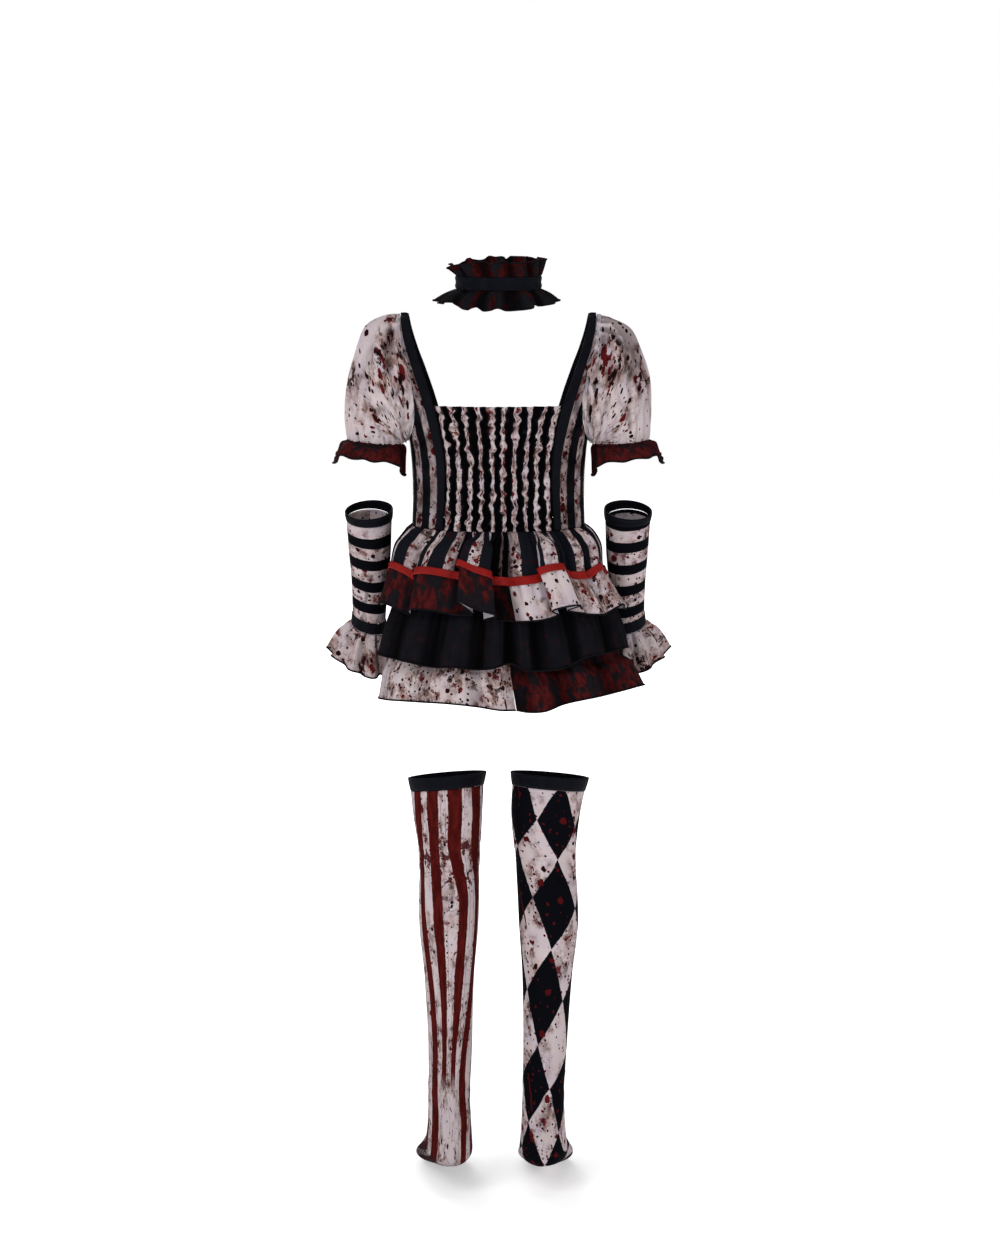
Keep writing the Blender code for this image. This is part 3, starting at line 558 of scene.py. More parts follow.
def sew(
    name, surface, grid, cut, look, closed=False, wrong_side=False, start=(0, 0), relief=None, sunk=None,
    reach=(-1.0, 1.0), stain=None,
):
    """Makes a sheet of cloth on a surface. Its name is that of the node it stands for, and its kind of cloth.

    Grid is the number of faces across and down, cut turns u and v into millimetres on the flat cloth, and
    start is the place of the cut on the printed cloth. Closed sheets are joined where u runs from 0 to 1.
    Relief gives how far each place stands out of the surface, and sunk how deep it lies in a large fold.
    Reach is the height at which the painted shade of the tucks and hollows is darkest and the one at which
    there is none. Stain gives how heavily each place is splashed: 0 is the usual amount, 1 is heavy, and
    below 0 there is less.
    """
    shape = bmesh.new()
    bmesh.ops.create_grid(shape, x_segments=grid[0], y_segments=grid[1], size=0.5)
    print_map = shape.loops.layers.uv.new("cloth")
    edge_map = shape.loops.layers.uv.new("edge")
    cut_length = cut(0.5, 1.0)[1] - cut(0.5, 0.0)[1]
    for face in shape.faces:
        for loop in face.loops:
            u, v = loop.vert.co.x + 0.5, 0.5 - loop.vert.co.y
            x, y = cut(u, v)
            loop[print_map].uv = (MM * (start[0] + x), MM * (start[1] - y))
            loop[edge_map].uv = (MM * x, MM * cut_length * min(v, 1 - v))
    tuck = shape.verts.layers.float.new("tuck")
    splash = shape.verts.layers.float.new("splash")
    sides = [vert for vert in shape.verts if abs(vert.co.x) > 0.4999]  # where u is 0 or 1
    raised = lifted(surface, relief) if relief else surface
    rows = {}
    for vert in shape.verts:
        u, v = vert.co.x + 0.5, round(0.5 - vert.co.y, 7)
        if v not in rows:
            rows[v] = raised(v)
        vert.co = rows[v](u) * MM
        if relief or sunk:
            # tuck: how deep a place lies in a tuck or hollow, which sets the painted shade of its colour
            height = (relief(u, v) if relief else 0.0) - (sunk(u, v) if sunk else 0.0)
            vert[tuck] = 1 - ease(height, *reach)
        if stain:
            vert[splash] = stain(u, v)
    if closed:
        bmesh.ops.remove_doubles(shape, verts=sides, dist=JOINED)
    return shown(name, shape, look, name.rsplit("_", 1)[0], wrong_side)


def shown(name, shape, look, node=None, wrong_side=False):
    """Turns a bmesh into a piece of the costume. The thickness of a sheet lies behind its faces."""
    mesh = bpy.data.meshes.new(name)
    shape.to_mesh(mesh)
    shape.free()
    mesh.shade_smooth()
    mesh.materials.append(finish(look))
    piece = bpy.data.objects.new(name, mesh)
    bpy.context.scene.collection.objects.link(piece)
    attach(piece, "root")
    if node:
        wall = piece.modifiers.new("Thickness", "SOLIDIFY")
        wall.thickness = getattr(bpy.context.scene.costume_sizes, FINISHES[look][1])
        wall.offset = -1.0
        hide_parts(node)
    if wrong_side:
        mesh.materials.append(finish("Wrong side"))
        wall.material_offset = 1
    return piece


def roll(name, surface, edge_v, across, closed, share=1.0):
    """Makes a rolled hem of black cotton on the edge of a surface, with a share of the usual radius."""
    rolled = edge_of(surface, edge_v, share * 1000 * bpy.context.scene.costume_sizes.hem)
    shape = bmesh.new()
    bmesh.ops.create_grid(shape, x_segments=across, y_segments=ROLL_SIDES, size=0.5)
    print_map = shape.loops.layers.uv.new("cloth")
    first = rolled(0)
    along = [first(k / ROLL_STEPS) for k in range(ROLL_STEPS + 1)]
    hem_length = sum((after - before).length for before, after in zip(along, along[1:]))
    for face in shape.faces:
        for loop in face.loops:
            u, v = loop.vert.co.x + 0.5, loop.vert.co.y + 0.5
            loop[print_map].uv = (MM * hem_length * u, MM * ROLL_GIRTH * v)
    rows = {}
    for vert in shape.verts:
        u, w = vert.co.x + 0.5, round(vert.co.y + 0.5, 7)
        if w not in rows:
            rows[w] = rolled(w)
        vert.co = rows[w](u) * MM
    bmesh.ops.remove_doubles(shape, verts=shape.verts, dist=JOINED)
    if not closed:
        bmesh.ops.holes_fill(shape, edges=[edge for edge in shape.edges if edge.is_boundary], sides=0)
    bmesh.ops.recalc_face_normals(shape, faces=shape.faces)
    hem = shown(name, shape, "Black cotton")
    return hem


def flat(width, length):
    """The cut of a plain strip or panel, in millimetres."""
    return lambda u, v: (width * u, length * v)


# ---------------------------------------------------------------- bodice


def body_size(z):
    """Half width and half depth of the bodice at a height; above the chest it closes over the shoulders."""
    if z <= CHEST_Z:
        return between(BODY, z)
    rise = min((z - CHEST_Z) / -CHEST_Z, 1.0)
    chest_width, chest_depth = BODY[-1][1:]
    return chest_width + (SHOULDER_HALF_WIDTH - chest_width) * rise, chest_depth * sqrt(1 - rise**2)


def turn_at(x, z):
    """How far round the bodice from its left side an x lies, as the section's own angle."""
    return acos(min(abs(x) / body_size(z)[0], 1.0) ** (BODY_POWER / 2))


def on_body(turn, z):
    """A point of the bodice, on its back for turns from 0, the wearer's left, to pi."""
    half_width, half_depth = body_size(z)
    return Vector((
        half_width * signed_power(cos(turn), 2 / BODY_POWER),
        half_depth * signed_power(sin(turn), 2 / BODY_POWER),
        z,
    ))


def back_point(x, z):
    """The point of the bodice's back at an x and a height."""
    half_width, half_depth = body_size(z)
    return Vector((x, half_depth * (1 - (abs(x) / half_width) ** BODY_POWER) ** (1 / BODY_POWER), z))


def shoulder_height(share):
    """The height at a share of the way from the shoulder to the waist, along the cloth."""
    if share < SHOULDER_SHARE:
        return CHEST_Z - CHEST_Z * cos(pi / 2 * share / SHOULDER_SHARE)
    return CHEST_Z + (WAIST_Z - CHEST_Z) * (share - SHOULDER_SHARE) / (1 - SHOULDER_SHARE)


def side_turns(z):
    """The turns of a side panel's edges at a height: at the armhole or side seam, and at the tape."""
    outer = turn_at(between(ARMHOLE, z)[0], z) if z > ARMHOLE_Z else 0.0
    return max(outer, SIDE_SEAM_TURN), turn_at(between(STRAP, z)[1] + SEAM, z)


def side_back(v):
    """The striped side back of the wearer's left, from the armhole and side seam to the tape."""
    z = shoulder_height(v)
    outer, inner = side_turns(z)

    def place(u):
        point = on_body(outer + (inner - outer) * u, z)
        point.y = max(point.y, SEAM / 2 + 0.2)
        return point

    return place


def strap(v):
    """The left tape, from the back waist over the shoulder to the front waist."""
    z = shoulder_height(min(abs(1 - 2 * v), 1.0))
    inner, outer = between(STRAP, z)

    def place(u):
        point = on_body(turn_at(inner + (outer - inner) * u, z), z)
        point.y *= 1 if v < 0.5 else -1
        return point

    return place


def middle_panel(top, low=WAIST_Z):
    """A back panel between the tapes, from a height down to another."""

    def level(v):
        z = top + (low - top) * v
        edge = between(STRAP, z)[0] - SEAM - 0.3
        return lambda u: back_point(edge * (1 - 2 * min(max(u, 0.0), 1.0)), z)

    return level


def ridge_at(u, v):
    """The fractional number of the shirred ridge at a place; a ridge is highest where this is whole."""
    row = SHIRR_ROWS * v
    at = SHIRR_RIDGES * u - FIRST_RIDGE
    return at + 0.20 * wobble(1.7 * at, 0.8 * row, 3) + 0.24 * wobble(1.1 * at, 2.2 * row, 4)


def drawn_in(v):
    """0 on a row of elastic and 1 half way to the next."""
    return abs(sin(pi * (SHIRR_ROWS * v + 0.35)))


def shirring(puff):
    """How far each place of the shirred back stands out from its plain lining."""

    def height(u, v):
        at = ridge_at(u, v)
        ridge = (0.5 + 0.5 * cos(2 * pi * at)) ** 0.8
        split = max(wobble(round(at), 1.7 * SHIRR_ROWS * v, 5), 0.0)
        split *= max(1 - abs(at - round(at)) / 0.12, 0.0)
        held = ease(u, 0.0, 0.03) * ease(1 - u, 0.0, 0.03)
        rough = 0.35 * wobble(40 * u, 60 * v, 6)
        return held * (puff * ridge * (0.45 + 0.55 * drawn_in(v)) * (1 - 0.9 * split) + rough)

    return height


def shirred_cut(period):
    """The place on the printed cloth of each place on the shirred back: each ridge holds a bone stripe."""

    def cut(u, v):
        at = ridge_at(u, v)
        pinch = (0.05 + 0.045 * (1 - drawn_in(v))) * sin(2 * pi * at)
        return period * (at + pinch), SHIRRED_LENGTH * v

    return cut


# ---------------------------------------------------------------- sleeves


def armhole_point(turn):
    """A point just outside the armhole seam. Turn is 0 at the shoulder and a half at the underarm."""
    z = ARMHOLE_Z / 2 * (1 - cos(turn)) - 1.5 * sin(turn / 2) ** 2
    x = between(ARMHOLE, z)[0]
    y = on_body(turn_at(x, max(z, ARMHOLE_Z + 0.5)), z).y
    return Vector((x + SEAM + 0.5, y * (1 if sin(turn) >= 0 else -1), z))


def over_the_seam(held):
    """The point where the gathered head of the sleeve rolls in over the side panel above the armhole."""
    x = held.x - HEAD_OVERLAP
    point = on_body(turn_at(x, held.z), held.z)
    out = Vector((0.0, point.y / BODY[-1][2], max(held.z - CHEST_Z, 0.0) / -CHEST_Z)).normalized()
    point += HEAD_LIFT * out
    return Vector((point.x, point.y * (1 if held.y >= 0 else -1), point.z))


@lru_cache(None)
def sleeve_line(turn):
    """The points that a line down the left puff passes, from the armhole to the cuff."""
    held = armhole_point(turn)
    points = [held, held]
    for i, (outer_x, outer_z, inner_x, inner_z, depth) in enumerate(SLEEVE):
        centre = Vector(((outer_x + inner_x) / 2, 0, (outer_z + inner_z) / 2))
        across = Vector(((outer_x - inner_x) / 2, 0, (outer_z - inner_z) / 2))
        point = centre + across * cos(turn) + Vector((0, depth * sin(turn), 0))
        points.append(point.lerp(held, 0.3) if i == 0 else point)
    points[1] = held.lerp(points[2], 0.12).lerp(over_the_seam(held), ease(held.z, -120.0, -60.0))
    return points


def puff(v):
    """The left sleeve, with u starting at the shoulder and turning to the back."""
    return lambda u: Vector(through(sleeve_line(2 * pi * u), v * (len(SLEEVE) + 1)))


def fold_height(x, y, fold):
    """How far a fold along a straight line stands out at a place of the flat cloth."""
    ax, ay, bx, by, out, half = fold
    along_x, along_y = bx - ax, by - ay
    share = ((x - ax) * along_x + (y - ay) * along_y) / (along_x**2 + along_y**2)
    share = min(max(share, 0.0), 1.0)
    off = ((x - ax - share * along_x) ** 2 + (y - ay - share * along_y) ** 2) / half**2
    return out * max(1 - off, 0.0) ** 2


def sleeve_stain(side):
    """How heavily a sleeve is splashed: most at the back beside the strap."""
    (x, y), (half_x, half_y) = SLEEVE_STAIN[side], SLEEVE_STAIN_SIZE

    def stain(u, v):
        far = hypot((u * SLEEVE_CUT[0] - x) / half_x, (v * SLEEVE_CUT[1] - y) / half_y)
        return 1.6 * (1 - ease(far, 0.5, 1.3)) - 0.35

    return stain


def puff_folds(seed, side):
    """The gathers at the head and cuff of a sleeve, its large folds and the slackness between them."""
    lines = SLEEVE_FOLDS[side]

    def height(u, v):
        x, y = u * SLEEVE_CUT[0], v * SLEEVE_CUT[1]
        large = sum(fold_height(x, y, line) for line in lines)
        u = 1 - u if side == "right" else u
        turn = 2 * pi * u
        over = 0.5 + 0.5 * cos(turn)
        around_x, around_y = 3 * cos(turn), 3 * sin(turn)
        shake = wobble(around_x, around_y, seed)
        head = 1.1 * over * sin(2 * pi * (HEAD_GATHERS * u + 0.8 * shake))
        head *= ease(v, 0.03, 0.1) * (1 - ease(v, 0.1, 0.34))
        uneven = wobble(4 * around_x, 4 * around_y, seed + 5)
        cuff = (0.9 + 1.3 * uneven) * sin(2 * pi * (CUFF_GATHERS * u + 1.8 * shake)) * ease(v, 0.80, 0.97)
        slack = 2.6 * (0.3 - crease(0.7 * around_x + 1.2 * v, 0.7 * around_y + 2.6 * v, seed + 2))
        slack += 1.5 * (0.3 - crease(1.6 * around_x - 1.5 * v, 1.6 * around_y + 3.0 * v, seed + 4))
        low = 1.4 * wobble(1.1 * around_x + 1.5 * v, 1.1 * around_y, seed + 3)
        calm = ease(v, 0.0, 0.12) * (1 - 0.6 * ease(v, 0.86, 1.0))
        held = -4.0 * over**2 * ease(v, 0.1, 0.25) * (1 - ease(v, 0.4, 0.7)) if side == "right" else 0.0
        return head + cuff + large + held + (slack + low) * calm

    return height


def sleeve_ruffle(seed):
    """The ruffle below the left cuff, which lifts at the back and front and hangs lowest inside."""

    def level(v):
        drop, out, radius, wave, tilt, lift, spread = through(SLEEVE_RUFFLE, 3 * v)

        def place(u):
            turn = 2 * pi * u
            aside = ease(abs(sin(turn)), 0.1, 0.8)
            shake = wobble(2 * cos(turn), 2 * sin(turn), seed)
            waves = cos(WRIST_WAVES * turn + 0.8 * sin(turn) + 1.1 * shake)
            second = 0.4 * cos(2 * WRIST_WAVES * turn + 5 * shake)
            around = radius + spread * aside + wave * (1 + 0.5 * shake) * (waves + second * (1 - v))
            across = around * cos(turn)
            leant = Vector((across * cos(radians(tilt)), around * sin(turn), across * sin(radians(tilt))))
            sway = 0.8 * v * sin(WRIST_WAVES * turn + 2 * shake)
            ends = -3.0 * ease(-cos(turn), 0.5, 0.95)
            return CUFF_CENTRE + leant + Vector((out, 0, lift * aside - drop + sway + ends * v * v))

        return place

    return level


# ---------------------------------------------------------------- skirt


def mark_at(marks, distance):
    """The fractional number of a mark at a distance."""
    i = min(max(bisect_right(marks, distance), 1), len(marks) - 1) - 1
    return i + (distance - marks[i]) / (marks[i + 1] - marks[i])


class Tier:
    """A tier of the skirt. Its folds run down it, and deepen and rise towards the hem.

    Distances are measured along the hem, to the right as seen from outside, from the seam near the back
    centre.
    """

    def __init__(self, table, folds):
        self.table = table
        self.folds = folds[:1] + folds[:0:-1]
        self.angles = [self.folds[0][0]] + [angle - 360 for angle, _, _ in self.folds[1:]]
        self.in_order = sorted(self.angles, reverse=True)
        hem = self.ring(table[-1][0])
        self.marks = [0.0]
        for k in range(HEM_STEPS * len(folds)):
            step = closed_curve(hem, (k + 1) / HEM_STEPS) - closed_curve(hem, k / HEM_STEPS)
            self.marks.append(self.marks[-1] + step.length)
        self.around = self.marks[-1]
        opposite = min(range(len(folds)), key=lambda i: abs(self.folds[i][0] - folds[0][0] - 180))
        self.half = self.marks[HEM_STEPS * opposite]  # to the seam near the front centre

    def halves(self):
        """Where the wearer's right half starts and ends, and where the left half does."""
        gap = SEAM / 2
        return (gap, self.half - gap), (self.half + gap, self.around - gap)

    def fold_at(self, u, start, end):
        """The fractional number of the fold at a share of the way between two distances."""
        end = self.around if end is None else end
        return mark_at(self.marks, (start + (end - start) * u) % self.around) / HEM_STEPS

    def ring(self, z):
        """The points of the folds at a height."""
        half_width, half_depth, centre_x, share = between(self.table, z)
        points = []
        for (_, out, rise), angle, calm in zip(self.folds, self.angles, self.in_order):
            a = radians(calm + (angle - calm) * ease(share, 0.0, 0.4))
            along_x, along_y = abs(sin(a)) / half_width, abs(cos(a)) / half_depth
            radius = (along_x**SKIRT_POWER + along_y**SKIRT_POWER) ** (-1 / SKIRT_POWER) + share * out
            lift = min(RISE_LEAD * share, 1.0) * rise
            points.append(Vector((centre_x + radius * sin(a), radius * cos(a), z + lift)))
        return points

    def hollows(self, start=0.0, end=None):
        """How deep each place between two distances lies in the folds."""

        def depth(u, v):
            at = self.fold_at(u, start, end)
            before, after = (self.folds[(floor(at) + k) % len(self.folds)][1] for k in (0, 1))
            out = before + (after - before) * ease(at % 1.0, 0.0, 1.0)
            return min(-out, DEEPEST_HOLLOW) * (0.4 + 0.6 * v)

        return depth

    def surface(self, top, low, start=0.0, end=None):
        """The cloth between two heights and two distances."""

        def level(v):
            ring = self.ring(top + (low - top) * v)
            return lambda u: closed_curve(ring, self.fold_at(u, start, end))

        return level


def stripe_at(distance):
    """The fractional number of the bone stripe of the peplum at a distance along its hem."""
    i = min(max(bisect_right(PEPLUM_STRIPES, (distance, 0.0)), 1), len(PEPLUM_STRIPES) - 1)
    (left, left_half), (right, right_half) = PEPLUM_STRIPES[i - 1], PEPLUM_STRIPES[i]
    if distance < left + left_half:
        return i - 1 + 0.25 * (distance - left) / left_half
    if distance > right - right_half:
        return i + 0.25 * (distance - right) / right_half
    return i - 0.75 + 0.5 * (distance - left - left_half) / (right - right_half - left - left_half)


def pleats(around, slack):
    """The soft pleats of the peplum: broad bone stripes stand out and narrow ones lie in the tucks."""

    def height(u, v):
        distance = u * around
        near = min(PEPLUM_STRIPES, key=lambda stripe: abs(stripe[0] - distance))
        off = (distance - near[0]) / PLEAT_HALF_WIDTH
        swell = max(1 - off * off, 0.0) ** 2 * (min(near[1], 11.0) - LEVEL_STRIPE) * 0.55
        swell *= ease(v, 0.0, 0.3) * (1 - 0.45 * ease(v, 0.5, 1.0))
        return slack(u, v) * ease(v, 0.0, 0.1) + swell

    return height


def gathers(around, pitch, depth, fade, seed):
    """Fine gathers under a seam, which fade out down the cloth, over a slight unevenness."""
    waves = round(around / pitch)

    def height(u, v):
        turn = 2 * pi * u
        shake = wobble(8 * cos(turn), 8 * sin(turn), seed)
        fine = sin(waves * turn + 2.4 * shake) + 0.4 * sin(2 * waves * turn + 5 * shake)
        fine *= depth * (1 + 0.6 * shake) * (1 - ease(v, 0.1, fade))
        uneven = wobble(waves / 5 * cos(turn), waves / 5 * sin(turn) + 1.5 * v, seed + 1)
        return fine + 0.9 * uneven * ease(v, 0.0, 0.2)

    return height


# ---------------------------------------------------------------- choker, arm warmers and stockings


def choker_wave(turn, seed):
    """The unevenness of a choker ruffle at a turn, and its waves there, from -1 to 1."""
    shake = wobble(3 * cos(turn), 3 * sin(turn), seed)
    return shake, cos(CHOKER_WAVES * turn + 0.9 * sin(2 * turn) + 1.6 * shake)


def choker(rings, seed):
    """A ring of the choker: u starts at the wearer's left and turns over the back."""

    def level(v):
        z, radius, wave, left_lift, right_lift, centre_x = through(rings, v * (len(rings) - 1))

        def place(u):
            turn = 2 * pi * u
            shake, waves = choker_wave(turn, seed)
            second = 0.45 * cos(2 * CHOKER_WAVES * turn + 7 * shake)
            third = 0.3 * cos(3 * CHOKER_WAVES * turn + 11 * shake)
            around = radius + wave * (1 + 0.35 * shake) * (waves + second + third)
            sway = 0.45 * wave * sin(CHOKER_WAVES * turn + 4 * shake)
            lift = (left_lift if cos(turn) > 0 else right_lift) * cos(turn) ** 2
            return Vector((centre_x + around * cos(turn), around * sin(turn), z + lift + sway))

        return place

    return level


def choker_valleys(seed):
    """How deep each place of a choker ruffle lies between its waves, from -1 on them to 1."""
    return lambda u, v: -choker_wave(2 * pi * u, seed)[1]


def slant(rise, across, along):
    """How far a ring round the forearm lies above its middle, at a place outwards and backwards of it."""
    return rise * across - ARM_LEAN * along


def forearm(top, low, proud, seed=0):
    """A sleeve of knit round the left forearm. U starts at the front and turns over the outer side."""

    def level(v):
        z = top + (low - top) * v
        x, y, radius, rise = between(ARM, z)

        def place(u):
            turn = 2 * pi * u - pi / 2
            shake = wobble(1.6 * cos(turn) + seed, 1.6 * sin(turn), 11) * wobble(9 * v, seed, 12)
            around = radius + proud + (1.1 * shake if seed else 0.0)
            across, along = around * cos(turn), around * sin(turn)
            return Vector((x + across, y + along, z + slant(rise, across, along)))

        return place

    return level


def wrist_ruffle(seed):
    """The ruffle below the left wrist, which flares on its outer side."""

    def level(v):
        z, x, y, radius, wave, slanted = through(WRIST_RUFFLE, 2 * v)

        def place(u):
            turn = 2 * pi * u - pi / 2
            shake = wobble(2 * cos(turn), 2 * sin(turn), seed)
            waves = cos(WRIST_WAVES * turn + 0.7 * sin(turn) + 1.2 * shake)
            second = 0.5 * (1 - v) * cos(2 * WRIST_WAVES * turn + 4 * shake)
            around = radius + wave * (1 + 0.3 * shake) * (waves + second)
            around -= max(-cos(turn), 0.0) ** 2 * 0.5 * (around - WRIST_RADIUS)
            across, along = around * cos(turn), around * sin(turn)
            rise = 0.85 * (around - WRIST_RADIUS) * max(cos(turn), 0.0)
            rise += slanted * slant(ARM[-1][4], across, along)
            sway = 1.0 * v * sin(WRIST_WAVES * turn + 3 * shake)
            return Vector((x + across, y + along, z + rise + sway))

        return place

    return level


class Leg:
    """A leg and foot, as rings from the top of the stocking to the tip of the toes."""

    def __init__(self, side):
        self.side = side
        self.ankle_x = LEG[-1][1] if side > 0 else LEG[-1][2]
        self.first_turn = pi if side > 0 else 0.0
        self.back = 0.75 if side > 0 else 0.25
        self.heights = [LEG[1][0] - SEAM] + [row[0] for row in LEG[2:]]
        rings = list(zip(*(self.line(turn) for turn in (0.0, pi, pi / 2, -pi / 2))))
        centres = [(left + right) / 2 for left, right, _, _ in rings]
        self.radii = [
            ((left - right).length + (back - front).length) / 4 for left, right, back, front in rings
        ]
        self.marks = [0.0]
        for above, below in zip(centres, centres[1:]):
            self.marks.append(self.marks[-1] + max((below - above).length, 0.5))

    @lru_cache(None)
    def line(self, turn):
        """The points that a line down the stocking passes. Turn is 0 at the wearer's left."""
        points = [self.ring_point(z, turn, 0.0) for z in self.heights]
        for front_y, front_z, sole_y, sole_z, half_width in FOOT:
            front, sole = Vector((0, front_y, front_z)), Vector((0, sole_y, sole_z))
            point = (front + sole) / 2 + (sole - front) / 2 * sin(turn)
            point.x = self.ankle_x - self.side * TOE_OUT[self.side] * point.y + half_width * cos(turn)
            points.append(point)
        points.append(TOE_TIP + Vector((self.ankle_x - self.side * TOE_OUT[self.side] * TOE_TIP.y, 0, 0)))
        return points

    def ring_point(self, z, turn, proud):
        """A point round the leg at a height, so far proud of it."""
        left_x, right_x, y, half_width, half_depth = between(LEG, z)
        x = left_x if self.side > 0 else right_x
        share = min(max((z - LEG[2][0]) / (LEG[1][0] - LEG[2][0]), 0.0), 1.0)
        rise = share * (STOCKING_BACK_RISE * sin(turn) - STOCKING_INNER_RISE * self.side * cos(turn))
        across, along = (half_width + proud) * cos(turn), (half_depth + proud) * sin(turn)
        return Vector((x + across, y + along, z + rise))

    def stocking(self, v):
        """The stocking. U starts on the inner side of the leg."""
        row = mark_at(self.marks, v * self.marks[-1])
        return lambda u: Vector(through(self.line(self.first_turn + 2 * pi * u), row))

    def band(self, v):
        """The band at the top of the stocking."""
        z = LEG[0][0] + (LEG[1][0] - LEG[0][0]) * v
        return lambda u: self.ring_point(z, self.first_turn + 2 * pi * u, 0.6)

    def unrolled(self, u, v):
        """The arc from the back of the leg towards the wearer's right, and the height on a straight leg."""
        row = mark_at(self.marks, v * self.marks[-1])
        radius = through([(radius,) for radius in self.radii], row)[0]
        return 2 * pi * (u - self.back) * radius, LEG[1][0] - v * self.marks[-1]

    def stripes_cut(self, u, v):
        """The place on the striped knit, where red stripes are centred between whole numbers of stripes."""
        arc, z = self.unrolled(u, v)
        *middles, share = between(RED_STRIPES, z)
        if arc < middles[0]:
            at = -1.5 + (arc - middles[0]) / RED_STRIPE_PITCH
        elif arc > middles[-1]:
            at = 1.5 + (arc - middles[-1]) / RED_STRIPE_PITCH
        else:
            at = mark_at(middles, arc) - 1.5
        off = (at % 1.0) - 0.5
        widened = abs(off) / share if abs(off) < share else 1 + (abs(off) - share) / (0.5 - share)
        return RED_STRIPE_CUT * (floor(at) + 0.5 + 0.25 * widened * (1 if off > 0 else -1)), -z

    def diamonds_cut(self, u, v):
        """The place on the diamond knit."""
        arc, z = self.unrolled(u, v)
        middle, width = between(DIAMONDS, z)[1:]
        row = between(DIAMONDS, z + 0.25 * (arc - middle))[0]
        return DIAMOND_CUT[0] * (arc - middle) / width, DIAMOND_CUT[1] * row


def knit_folds(seed):
    """The slight unevenness of a stocking, with a few folds behind the knee and at the ankle."""

    def height(u, v):
        turn = 2 * pi * u
        around_x, around_y = 1.4 * cos(turn), 1.4 * sin(turn)
        bent = max(1 - abs(v - 0.14) / 0.09, 0.0) + 0.8 * max(1 - abs(v - 0.62) / 0.07, 0.0)
        slack = 0.7 * wobble(around_x + 2 * v, around_y + 9 * v, seed) * ease(v, 0, 0.02)
        return slack + 1.1 * bent * (crease(around_x, around_y + 26 * v, seed + 1) - 0.4)

    return height


# ---------------------------------------------------------------- finishes


class Wire:
    """A socket of a material. Sums and products with numbers and other wires add Math nodes."""

    def __init__(self, paint, socket):
        self.paint = paint
        self.socket = socket

    def maths(self, operation, *terms):
        """A Math node on these terms."""
        return self.paint.node("ShaderNodeMath", {"operation": operation}, dict(enumerate(terms)))

    def __add__(self, other):
        return self.maths("ADD", self, other)

    def __sub__(self, other):
        return self.maths("SUBTRACT", self, other)

    def __rsub__(self, other):
        return self.maths("SUBTRACT", other, self)

    def __mul__(self, other):
        return self.maths("MULTIPLY", self, other)

    def __truediv__(self, other):
        return self.maths("DIVIDE", self, other)

    def __mod__(self, other):
        return self.maths("FLOORED_MODULO", self, other)

    def __abs__(self):
        return self.maths("ABSOLUTE", self)

    def waves(self, pitch):
        """Waves from -1 to 1, with their pitch from one crest to the next."""
        return self.maths("SINE", self * (2 * pi / pitch))

    def more_of(self, other):
        return self.maths("MAXIMUM", self, other)

    def less_of(self, other):
        return self.maths("MINIMUM", self, other)

    def output(self, name):
        """Another output of the node that this wire comes from."""
        return Wire(self.paint, self.socket.node.outputs[name])


